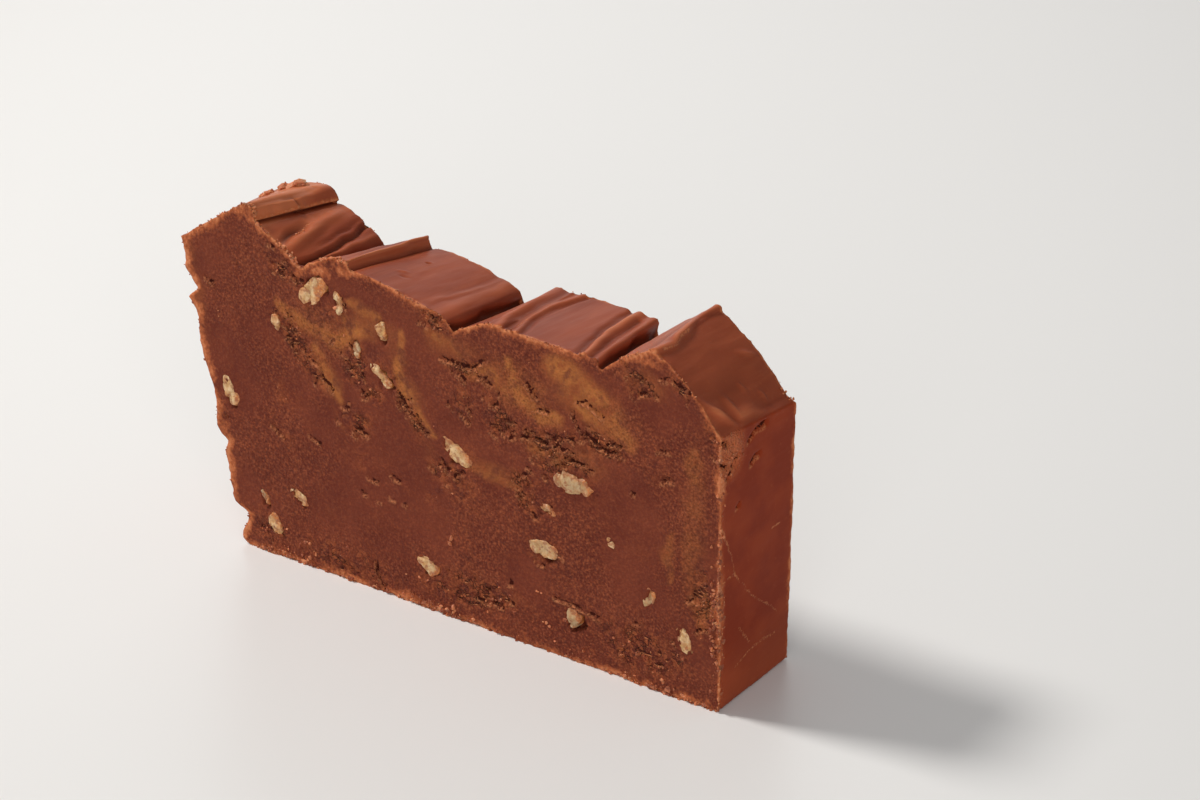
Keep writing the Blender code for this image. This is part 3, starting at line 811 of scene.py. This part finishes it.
def shape_ends(block):
    """Relief of the leaning left end and of the upright right one."""
    left = block.ids[0].ravel()
    place = block.points[left]
    height = 0.45 * rough(place * (1, 0.6, 1), 4.5, 3, 41) + 0.2 * rough(place, 1.1, 2, 42)
    block.points[left, 0] -= LEFT_SPREAD + np.minimum(height, LEFT_PROUD)

    right = block.ids[-1].ravel()
    place = block.points[right]
    flat = place[:, 1:]
    y, z = flat.T
    front_gap = y + THICKNESS / 2
    back_gap = THICKNESS / 2 - y
    top_gap = (1 - block.k[right] / ROWS) * z.max()
    wobble = 0.25 * wander(place, 1.5, 46)
    crack, lip = tears_and_lips(flat, END_CRACKS, wobble, (0.35, 0.4))
    corner = ramp(np.hypot(y + 9.0, (z - 50.5) * 0.9), 6.0, 2.5) * ramp(y, 4.0, -3.0)
    crumbling = 0.45 + 0.55 * worn_stretch(z)
    strip = ramp(front_gap + 0.7 * rough(place, 3.0, 2, 48), 2.2, 0.2) * crumbling
    torn = np.clip(np.maximum(corner, strip), 0, 1)
    height = 0.1 * rough(place, 10.0, 2, 43) - CRACK_DEPTH * ramp(crack, 0.3, 0.75)
    height += torn * (0.22 * rough(place, 1.4, 2, 44) - 0.2)
    height += 0.15 * ramp(np.minimum(back_gap, top_gap), 1.0, 0.0) * rough(place, 1.2, 2, 45)
    block.points[right, 0] += np.minimum(height, END_PROUD)
    # A painted glow towards the bottom of the end and on its torn places, where it partly stands for
    # lighter crumbled fudge.
    thin = np.maximum(0.3 * ramp(z, 16.0, 0.0), 0.75 * torn)
    block.mark(right, end=1.0, thin=thin, pale=nearness(flat + wobble * 1.2, PALE_LINES, 0.9))
    # The cracks' lips get a painted highlight.
    block.mark_more(right, lip=lip, tear=crack, torn=0.6 * torn)


def wear_base(block):
    """The crumbled edge round the base, which keeps the resting face flat."""
    ids = np.flatnonzero(block.k == 0)
    last_i, last_j, _ = block.size
    wear = BASE_WEAR * np.abs(rough(block.points[ids], 1.8, 2, 51))
    block.points[ids, 0] += wear * ((block.i[ids] == 0) * 1.0 - (block.i[ids] == last_i))
    block.points[ids, 1] += wear * ((block.j[ids] == 0) * 1.0 - (block.j[ids] == last_j))
    block.points[ids, 2] = 0.0


def rim_at(block, is_cut):
    """How near each point is to the slice's edges, where the fudge is crumbled and so slight that it
    gets a painted orange glow, with a pale painted highlight right on the edge.
    """
    x, y, z = block.points.T
    last_i, _, last_k = block.size
    patchy = rough(block.points, 4.0, 3, 61)
    from_cut = THICKNESS / 2 - np.abs(y)
    from_right = (last_i - block.i) * COLUMN_WIDTH
    from_left = block.i * COLUMN_WIDTH
    from_top = (last_k - block.k) * ROW_HEIGHT
    # The right arris is worn widest at two heights.
    low, high = ramp(np.abs(z - 20), 15, 4), ramp(np.abs(z - 46), 8, 3)
    # Each gap to an edge of the cut, with the width of the rim there.
    gaps = (
        (from_top, 1.3 + 1.1 * ramp(x, -46, -54)),
        (from_left, 2.0),
        (from_right, 0.9 + 1.5 * low + 1.4 * high),
        (z, 1.9),
    )
    nearest = np.min([gap / width for gap, width in gaps], axis=0)
    end_width = np.where(y < 0, 0.9 + 1.4 * low + 1.6 * high, 1.4)
    across = from_cut / np.where(block.i == last_i, end_width, 0.9)
    return np.clip(1.0 + 0.4 * patchy - np.where(is_cut, nearest, across), 0, 1)


def build_slice():
    block = Block()
    is_cut = block.j % DEPTHS == 0
    block.masks["cut"] = is_cut * 1.0
    block.masks["rim"] = rim_at(block, is_cut)
    shape_top(block)
    shape_ends(block)
    shape_cut(block, "front", -1)
    shape_cut(block, "back", 1)
    wear_base(block)
    block.points = np.clip(block.points, *BOX)
    return placed("fudge", block.mesh("fudge")), block


def nearest_to(points, plane, spot):
    """The point that lies nearest to a spot in the plane of those two axes."""
    return points[np.argmin(np.hypot(*(points[:, plane] - spot).T))]


def crumb_places(block, rng):
    """Where loose crumbs stick to the slice: their centres, their radii and how light they are."""
    last_i, last_j, last_k = block.size
    x, y, z = block.points.T
    front, back = block.j == 0, block.j == last_j
    torn = block.masks["torn"]
    clusters = ramp(rough(block.points, 7.0, 2, 81), -0.1, 0.7)
    right_arris = (block.i == last_i) & front
    top_arris = (block.k == last_k) & front
    # How likely a crumb is at each point, how many there are, and their least and largest radius.
    spread = (
        (front * np.exp(-z / 0.6) * (0.1 + clusters), 720, 0.12, 0.5),
        (front * torn * ramp(z, 14.0, 2.0) * (0.05 + clusters), 100, 0.14, 0.38),
        (front * torn ** 2 * (z > 12), 150, 0.1, 0.22),
        (right_arris * (0.25 + 1.6 * worn_stretch(z)), 170, 0.12, 0.38),
        ((np.hypot(y + 12, x - 55) < 1.6) * (0.1 + worn_stretch(z, 18.0)), 230, 0.12, 0.44),
        ((block.i == last_i) * torn * (y < 3) * ramp(z, 42, 47), 60, 0.1, 0.28),
        (top_arris * (0.15 + clusters), 240, 0.1, 0.24),
        ((block.i == 0) * (front * 3 + 0.1), 70, 0.1, 0.24),
        (back * np.exp(-z / 1.0), 170, 0.14, 0.4),
        (back * torn ** 2, 110, 0.1, 0.26),
        ((block.k == last_k) * back * 1.0, 24, 0.08, 0.14),
    )
    groups = []
    for weight, count, small, large in spread:
        chosen = rng.choice(len(weight), size=count, p=weight / weight.sum())
        centres = block.points[chosen] + rng.normal(0, 0.08, (count, 3))
        radii = small + (large - small) * rng.random(count) ** 2
        groups.append((centres, radii, rng.random(count) ** 1.6))
    for spot, radius, tone in CRUMB_MARKS:
        groups.append(([nearest_to(block.points[front], [0, 2], spot)], [radius], [tone]))
    skin = block.points[block.k == last_k]
    for middle, count, reach, small, large in CRUMB_HEAPS:
        spots = np.array(middle) + rng.uniform(-1, 1, (count, 2)) * reach
        centres = np.array([nearest_to(skin, [0, 1], spot) for spot in spots])
        centres += rng.uniform(-0.2, 0.3, (count, 3))
        radii = rng.uniform(small, large, count)
        groups.append((centres, radii, rng.uniform(0.5, 1.0, count)))
    return [np.concatenate(column) for column in zip(*groups)]


def build_crumbs(block):
    """All the loose crumbs as one mesh of small rough lumps, kept inside the solids' box."""
    rng = np.random.default_rng(5)
    centres, radii, tones = crumb_places(block, rng)
    bm = bmesh.new()
    bmesh.ops.create_icosphere(bm, subdivisions=1, radius=1.0)
    ball = np.array([v.co for v in bm.verts])
    faces = np.array([[v.index for v in face.verts] for face in bm.faces])
    bm.free()
    count = len(centres)
    shape = 1 + 0.3 * rng.normal(0, 1, (count, len(ball), 1)).clip(-1.2, 1.2)
    stretched = ball * shape * rng.uniform(0.55, 1.45, (count, 1, 3))
    points = (centres[:, None] + radii[:, None, None] * stretched).reshape(-1, 3)
    points = np.clip(points, *BOX)
    all_faces = (faces[None] + np.arange(count)[:, None, None] * len(ball)).reshape(-1, 3)
    mesh = bpy.data.meshes.new("crumbs")
    mesh.from_pydata((points * MM).tolist(), [], all_faces.tolist())
    add_masks(mesh, {"tone": np.repeat(tones, len(ball))})
    return placed("crumbs", mesh)


def build_nut(node, number):
    """A craggy walnut piece from its solid, cut rough where the knife went through it."""
    bm = bmesh.new()
    bm.from_mesh(node.data)
    bmesh.ops.remove_doubles(bm, verts=bm.verts, dist=0.00001)
    bmesh.ops.triangulate(bm, faces=bm.faces)
    bmesh.ops.subdivide_edges(bm, edges=bm.edges, cuts=5, use_grid_fill=True)
    axes = {"use_axis_" + axis: True for axis in "xyz"}
    for _ in range(3):
        bmesh.ops.smooth_vert(bm, verts=bm.verts, factor=0.5, **axes)
    bm.normal_update()
    points = np.array([v.co for v in bm.verts]) / MM
    normals = np.array([v.normal for v in bm.verts])
    at = points + (number * 31.7, 0, 0)
    gap, label = nearest_seed(at * (1, 0.4, 1), 1.9, 71)
    height = 0.35 * (0.5 - gap) + 0.25 * label + 0.5 * rough(at * (1, 0.4, 1), 2.4, 3, 72)
    moved = points + normals * height[:, None]
    outward = np.sign(points[:, 1])
    limit = THICKNESS / 2 - 0.02 + 0.18 * rough(at, 1.5, 3, 73) - 0.4 * ramp(gap, 0.52, 0.75)
    moved[:, 1] = outward * np.minimum(np.abs(moved[:, 1]), limit)
    moved = np.clip(moved, *BOX)
    for vert, co in zip(bm.verts, moved * MM):
        vert.co = co
    mesh = bpy.data.meshes.new(node.name.replace("walnut", "nut"))
    bm.to_mesh(mesh)
    bm.free()
    mesh.shade_smooth()
    flat = points[:, [0, 2]] - points[:, [0, 2]].mean(axis=0)
    turn = math.radians(15 + 30 * math.sin(number * 1.7))
    side = flat @ (math.cos(turn), math.sin(turn))
    reach = np.abs(side).max()
    skin = ramp(side / reach + 0.3 * rough(at, 1.5, 2, 74), 0.25, 0.65)
    edge = ramp(outline_distance(points[:, [0, 2]], outline_of(node)), -0.9, 0.0)
    dull = np.full(len(points), DULL_NUTS.get(node.name, 0.0))
    add_masks(mesh, {"skin": skin, "groove": ramp(gap, 0.5, 0.8), "edge": edge, "dull": dull})
    return placed(mesh.name, mesh)


# Materials

class Shader:
    """A material's node tree, with short ways to add the nodes that are used here."""

    def __init__(self, name):
        self.material = bpy.data.materials.new(name)
        self.material.use_nodes = True
        self.tree = self.material.node_tree
        self.principled = self.tree.nodes["Principled BSDF"]
        self.place = self.add("ShaderNodeTexCoord").outputs["Object"]

    def add(self, kind, inputs=(), **settings):
        made = self.tree.nodes.new(kind)
        for key, value in settings.items():
            setattr(made, key, value)
        for key, value in dict(inputs).items():
            self.feed(made.inputs[key], value)
        return made

    def feed(self, socket, value):
        if isinstance(value, bpy.types.NodeSocket):
            self.tree.links.new(value, socket)
        else:
            socket.default_value = value

    def set(self, **inputs):
        for key, value in inputs.items():
            self.feed(self.principled.inputs[key.replace("_", " ")], value)

    def mask(self, name):
        return self.add("ShaderNodeAttribute", attribute_name=name).outputs["Fac"]

    def noise(self, size, detail=2.0, stretched=(1, 1, 1), offset=0.0, up=0.0):
        """Noise from 0 to 1 with bumps of that size in millimetres. offset picks another pattern, and
        up reads it that many millimetres higher."""
        shift = (offset, offset, offset + up * MM)
        inputs = {"Vector": self.place, "Scale": stretched, "Location": shift}
        moved = self.add("ShaderNodeMapping", inputs).outputs[0]
        inputs = {"Vector": moved, "Scale": 1 / (size * MM), "Detail": detail}
        return self.add("ShaderNodeTexNoise", inputs).outputs["Fac"]

    def cells(self, size, bent=0.6):
        """Crumbs about that size in millimetres: how far each point is from the cracks round its crumb,
        in crumb sizes, and a random tone from 0 to 1 for each crumb."""
        scale = 1 / (size * MM)
        drift = self.add("ShaderNodeTexNoise", {"Vector": self.place, "Scale": scale, "Detail": 2.0})
        inputs = {0: drift.outputs["Color"], 1: (bent * size * MM,) * 3, 2: self.place}
        bend = self.add("ShaderNodeVectorMath", inputs, operation="MULTIPLY_ADD")
        inputs = {"Vector": bend.outputs[0], "Scale": scale}
        gap = self.add("ShaderNodeTexVoronoi", inputs, feature="DISTANCE_TO_EDGE")
        cell = self.add("ShaderNodeTexVoronoi", inputs)
        tone = self.add("ShaderNodeSeparateColor", {0: cell.outputs["Color"]})
        return gap.outputs["Distance"], tone.outputs[0]

    def ramp(self, value, low, high, to_low=0.0, to_high=1.0):
        """Goes evenly from to_low to to_high as value goes from low to high, and stays there."""
        inputs = {"Value": value, "From Min": low, "From Max": high}
        inputs.update({"To Min": to_low, "To Max": to_high})
        return self.add("ShaderNodeMapRange", inputs).outputs[0]

    def maths(self, operation, a, b):
        return self.add("ShaderNodeMath", {0: a, 1: b}, operation=operation).outputs[0]

    def plus(self, a, b):
        return self.maths("ADD", a, b)

    def minus(self, a, b):
        return self.maths("SUBTRACT", a, b)

    def times(self, a, b):
        return self.maths("MULTIPLY", a, b)

    def larger(self, a, b):
        return self.maths("MAXIMUM", a, b)

    def mix(self, share, a, b):
        made = self.add("ShaderNodeMix", {0: share, 6: a, 7: b}, data_type="RGBA")
        return made.outputs[2]

    def tint(self, base, colour, share, strength=None):
        """base turned into colour by that share, times strength."""
        return self.mix(share if strength is None else self.times(share, strength), base, colour)

    def bump(self, height, depth, before=None):
        """Bumps of that depth in millimetres where height goes from 0 to 1."""
        inputs = {"Height": height, "Distance": depth * MM, "Strength": 1.0}
        if before is not None:
            inputs["Normal"] = before
        return self.add("ShaderNodeBump", inputs).outputs[0]


CUT_DARK = (0.152, 0.03, 0.0155, 1)
CUT_LIGHT = (0.188, 0.04, 0.0195, 1)
CUT_WARM = (0.26, 0.062, 0.022, 1)
CUT_PURPLE = (0.12, 0.026, 0.018, 1)
CARAMEL_COLOUR = (0.45, 0.15, 0.04, 1)
SKIN_DARK = (0.24, 0.048, 0.021, 1)
SKIN_LIGHT = (0.315, 0.068, 0.029, 1)
END_COLOUR = (0.225, 0.028, 0.008, 1)
END_LIGHT = (0.28, 0.04, 0.011, 1)
# Orange for the painted glow of thin and raised fudge, and for faint streaks in the skin.
GLOW_AND_STREAK_COLOUR = (0.54, 0.14, 0.058, 1)
# Orange for the painted glow along the edges and in thin places, and for light grains and crumbs.
GLOW_AND_LIGHT_GRAIN_COLOUR = (0.5, 0.135, 0.048, 1)
# Pale for crumbs and light grains, and for painted highlights on lips, edges and crests.
CRUMB_AND_HIGHLIGHT_COLOUR = (0.62, 0.215, 0.09, 1)
CRUMB_DARK = (0.25, 0.058, 0.022, 1)
# Near black for painted shade in tears, holes, cracks, creases, pores and pockets, and for dark grains
# and crumbs.
SHADE_AND_DARK_GRAIN_COLOUR = (0.06, 0.007, 0.003, 1)
SKIN_ROUGHNESS, CUT_ROUGHNESS = 0.36, 0.66
SKIN_SHINE, CUT_SHINE = 0.065, 0.1


def torn_marks(s, torn, gap, fine, middle):
    """The tears, then where shade is painted, which is in tears, holes, the cracks between crumbs, pores
    and nut pockets, all with ragged edges, and last the painted highlight on the lip that lies under
    each, which partly stands for lighter crumbled fudge."""
    field = s.plus(s.mask("tear"), s.ramp(middle, 0.3, 0.7, -0.36, 0.24))
    tear = s.ramp(field, 0.5, 0.56)
    depth = s.ramp(torn, 0.0, 1.0, 0.3, 0.0)
    few = s.ramp(torn, 0.08, 0.3)
    holes = []
    # The holes are read a little higher too: a point just under a hole gets the painted highlight of its
    # lower lip.
    for up in (0.0, 0.36):
        pattern = s.noise(1.05, 4.0, (0.55, 1, 1.25), 3.0, up)
        holes.append(s.times(s.ramp(s.minus(pattern, depth), 0.55, 0.58), few))
    hole, above = holes
    broken = s.ramp(s.noise(2.2, 2.0, offset=13.0), 0.42, 0.56)
    width = s.ramp(s.times(torn, broken), 0.1, 1.0, -0.06, 0.07)
    crack = s.ramp(s.minus(gap, width), 0.03, -0.02)
    lip = s.times(above, s.ramp(hole, 0.5, 0.0))
    lip = s.larger(lip, s.times(s.mask("lip"), s.ramp(fine, 0.38, 0.55)))
    dark = s.larger(s.times(tear, 1.25), s.times(crack, 0.35))
    dark = s.larger(dark, hole)
    dark = s.larger(dark, s.mask("pit"))
    return tear, dark, lip


def cut_colour(s, torn, tone, sandy):
    """The cut face: soft marbling, sandy grain, and light and dark crumbs where it is torn."""
    caramel = s.mask("caramel")
    body = s.mix(s.ramp(s.noise(8.0, 2.0, offset=5.0), 0.38, 0.62), CUT_DARK, CUT_LIGHT)
    body = s.tint(body, CARAMEL_COLOUR, caramel)
    marbled = s.ramp(s.larger(torn, caramel), 0.0, 0.45, 0.15, 1.0)
    warm = s.noise(2.6, 3.0, offset=21.0)
    grain = s.noise(0.45, 3.0, offset=17.0)
    grainy = s.ramp(sandy, 0.0, 1.0, 0.35, 1.0)
    sand = s.noise(0.36, 3.0, offset=11.0)
    for share, pattern, low, high, strength, colour in (
        (marbled, warm, 0.52, 0.66, 0.7, CUT_WARM),
        (marbled, warm, 0.48, 0.34, 0.7, CUT_PURPLE),
        (grainy, grain, 0.5, 0.7, 0.4, GLOW_AND_LIGHT_GRAIN_COLOUR),
        (grainy, grain, 0.5, 0.32, 0.42, SHADE_AND_DARK_GRAIN_COLOUR),
        (sandy, sand, 0.54, 0.72, 0.1, CRUMB_AND_HIGHLIGHT_COLOUR),
        (sandy, sand, 0.46, 0.32, 0.3, SHADE_AND_DARK_GRAIN_COLOUR),
        (torn, tone, 0.5, 0.95, 0.65, GLOW_AND_LIGHT_GRAIN_COLOUR),
        (torn, tone, 0.25, 0.05, 0.3, SHADE_AND_DARK_GRAIN_COLOUR),
    ):
        body = s.tint(body, colour, share, s.ramp(pattern, low, high, 0.0, strength))
    return body


def skin_colour(s, torn, tone, line):
    """The skin of the top and of the ends."""
    skin = s.mix(s.ramp(s.noise(7.0, 2.0, (1, 0.4, 1)), 0.35, 0.65), SKIN_DARK, SKIN_LIGHT)
    streak = s.ramp(s.noise(1.9, 3.0, (1, 0.1, 1), 27.0), 0.5, 0.68, 0.0, 0.16)
    skin = s.tint(skin, GLOW_AND_STREAK_COLOUR, streak)
    mottled = s.mix(s.ramp(s.noise(6.0, 4.0, offset=29.0), 0.4, 0.66), END_COLOUR, END_LIGHT)
    skin = s.mix(s.mask("end"), skin, mottled)
    # Painted orange glow on thin, raised and turned-away parts of the top, with a pale painted highlight
    # where it is strongest.
    skin = s.tint(skin, GLOW_AND_STREAK_COLOUR, s.mask("thin"), 0.85)
    skin = s.tint(skin, CRUMB_AND_HIGHLIGHT_COLOUR, s.ramp(s.mask("thin"), 0.5, 1.0, 0.0, 0.45))
    # Painted shade in the sunk folds, under the ribbon and at the foot of the blade.
    skin = s.tint(skin, SHADE_AND_DARK_GRAIN_COLOUR, s.mask("crease"), 0.75)
    skin = s.tint(skin, GLOW_AND_LIGHT_GRAIN_COLOUR, torn, s.ramp(tone, 0.35, 0.95, 0.0, 0.65))
    # Pale lines: cracks in the end's skin, crumbled lines on the top, and a painted highlight along the
    # blade's crest.
    skin = s.tint(skin, CRUMB_AND_HIGHLIGHT_COLOUR, line, 0.62)
    return skin


def fudge_material():
    s = Shader("fudge_looks")
    cut, sandy, torn = s.mask("cut"), s.mask("sandy"), s.mask("torn")
    fine = s.noise(0.42, 3.0)
    middle = s.noise(0.8, 3.0, offset=7.0)
    gap, tone = s.cells(0.85)
    tear, dark, lip = torn_marks(s, torn, gap, fine, middle)
    line = s.ramp(s.plus(s.mask("pale"), s.ramp(fine, 0.3, 0.7, -0.2, 0.2)), 0.72, 0.92)

    colour = s.mix(cut, skin_colour(s, torn, tone, line), cut_colour(s, torn, tone, sandy))
    # Painted highlight on the lips under tears and holes, partly the lighter colour of crumbled fudge.
    colour = s.tint(colour, CRUMB_AND_HIGHLIGHT_COLOUR, lip, 0.85)
    # Painted orange glow along the edges and in thin places, partly crumbled edges, and a pale painted
    # highlight right on the edge.
    rim = s.plus(s.mask("rim"), s.ramp(middle, 0.3, 0.7, -0.28, 0.28))
    colour = s.tint(colour, GLOW_AND_LIGHT_GRAIN_COLOUR, s.ramp(rim, 0.2, 0.8, 0.0, 0.88))
    colour = s.tint(colour, CRUMB_AND_HIGHLIGHT_COLOUR, s.ramp(rim, 0.72, 1.02, 0.0, 0.85))
    # Painted shade in tears, holes, the cracks between crumbs, pores and the pockets round the nuts.
    colour = s.tint(colour, SHADE_AND_DARK_GRAIN_COLOUR, dark, 0.76)

    lift = s.minus(s.times(lip, 0.35), dark)
    rounded = s.times(s.ramp(gap, 0.0, 0.25), torn)
    relief = s.bump(fine, 0.16)
    relief = s.bump(s.times(middle, s.ramp(sandy, 0, 1, 0.4, 1.0)), 0.65, relief)
    relief = s.bump(rounded, 0.2, relief)
    relief = s.bump(lift, 0.65, relief)
    smooth = s.bump(s.noise(2.4, 2.0, (1, 0.1, 1), 31.0), 0.1)
    smooth = s.bump(s.noise(0.8, 2.0, (1, 0.12, 1)), 0.03, smooth)
    smooth = s.bump(rounded, 0.35, smooth)
    smooth = s.bump(s.larger(tear, s.ramp(line, 0, 1, 0.0, 0.2)), -0.45, smooth)
    normal = s.add("ShaderNodeMix", {0: cut, 4: smooth, 5: relief}, data_type="VECTOR").outputs[1]

    matt = s.larger(cut, s.times(s.mask("end"), 0.75))
    s.set(Base_Color=colour, Normal=normal)
    s.set(Roughness=s.ramp(matt, 0.0, 1.0, SKIN_ROUGHNESS, CUT_ROUGHNESS))
    s.set(Specular_IOR_Level=s.ramp(matt, 0.0, 1.0, SKIN_SHINE, CUT_SHINE))
    s.set(Subsurface_Weight=0.12, Subsurface_Radius=(1.0, 0.32, 0.16), Subsurface_Scale=0.5 * MM)
    return s.material


def crumb_material():
    s = Shader("crumb_looks")
    tone = s.plus(s.mask("tone"), s.ramp(s.noise(0.4), 0.3, 0.7, -0.2, 0.2))
    s.set(Base_Color=s.mix(s.ramp(tone, 0.1, 0.9), CRUMB_DARK, CRUMB_AND_HIGHLIGHT_COLOUR), Roughness=0.6)
    s.set(Normal=s.bump(s.noise(0.25), 0.06), Specular_IOR_Level=0.35)
    s.set(Subsurface_Weight=0.5, Subsurface_Radius=(1.0, 0.4, 0.2), Subsurface_Scale=0.4 * MM)
    return s.material


NUT_FLESH = (0.74, 0.51, 0.27, 1)
NUT_SHADE = (0.57, 0.31, 0.12, 1)
NUT_SKIN = (0.54, 0.175, 0.045, 1)
NUT_EDGE = (0.33, 0.095, 0.032, 1)
NUT_DULL = (0.3, 0.19, 0.1, 1)


def walnut_material():
    s = Shader("walnut_looks")
    fine = s.noise(0.5, 3.0)
    flesh = s.mix(s.ramp(s.noise(1.5, 4.0), 0.42, 0.58), NUT_SHADE, NUT_FLESH)
    flesh = s.tint(flesh, NUT_DULL, s.mask("dull"))
    skin = s.times(s.mask("skin"), s.ramp(fine, 0.35, 0.55, 0.4, 1.0))
    colour = s.mix(skin, flesh, NUT_SKIN)
    margin = s.times(s.mask("edge"), s.ramp(s.noise(1.6, 3.0, offset=5.0), 0.42, 0.6))
    colour = s.tint(colour, NUT_SKIN, margin, 0.55)
    smear = s.plus(s.noise(0.9, 3.0, offset=9.0), s.ramp(s.mask("groove"), 0, 1, 0.0, 0.05))
    smear = s.plus(smear, s.ramp(s.mask("edge"), 0, 1, 0.0, 0.09))
    s.set(Base_Color=s.mix(s.ramp(smear, 0.57, 0.66, 0.0, 0.7), colour, NUT_EDGE), Roughness=0.42)
    s.set(Normal=s.bump(fine, 0.24), Specular_IOR_Level=0.4)
    s.set(Subsurface_Weight=0.25, Subsurface_Radius=(1.0, 0.7, 0.4), Subsurface_Scale=0.5 * MM)
    return s.material


def floor_material():
    s = Shader("floor_looks")
    s.set(Base_Color=(0.8, 0.785, 0.765, 1), Roughness=0.35)
    return s.material


# The stage

def aimed(name, data, place, direction):
    """A light or camera at that place, looking in that direction."""
    made = placed(name, data)
    made.location = place
    made.rotation_mode = "QUATERNION"
    made.rotation_quaternion = direction.to_track_quat("-Z", "Y")
    return made


def build_floor():
    mesh = bpy.data.meshes.new("floor")
    corners = [(x * FLOOR_REACH, y * FLOOR_REACH, 0) for x, y in ((-1, -1), (1, -1), (1, 1), (-1, 1))]
    mesh.from_pydata(corners, [], [(0, 1, 2, 3)])
    mesh.materials.append(floor_material())
    placed("floor", mesh)


def build_lights():
    for row in LIGHTS:
        light = bpy.data.lights.new(row.name, "AREA")
        light.shape = "DISK"
        light.size = row.size
        light.energy = row.power
        light.color = row.colour
        aimed(row.name, light, row.place, Vector(LIGHT_AIM) - Vector(row.place))
    world = bpy.data.worlds.new("studio")
    world.use_nodes = True
    background = world.node_tree.nodes["Background"].inputs
    background["Color"].default_value = (1, 1, 1, 1)
    background["Strength"].default_value = WORLD_STRENGTH
    bpy.context.scene.world = world
    bpy.context.scene.view_settings.view_transform = "Standard"


def build_camera():
    camera = bpy.data.cameras.new("camera")
    camera.lens = CAMERA_LENS
    camera.sensor_width = SENSOR_WIDTH
    camera.clip_start = 0.01
    bpy.context.scene.camera = aimed("camera", camera, CAMERA_PLACE, Vector(CAMERA_AIM))


def main():
    build_floor()
    build_lights()
    build_camera()
    fudge, block = build_slice()
    crumbs = build_crumbs(block)
    for piece, material in ((fudge, fudge_material()), (crumbs, crumb_material())):
        piece.data.materials.append(material)
        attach(piece, "root")
        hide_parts("fudge_slice")
    walnut = walnut_material()
    for number, name in enumerate(sorted(n for n in frame["nodes"] if n.startswith("walnut"))):
        nut = build_nut(frame["nodes"][name], number)
        nut.data.materials.append(walnut)
        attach(nut, "root")
        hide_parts(name)


main()
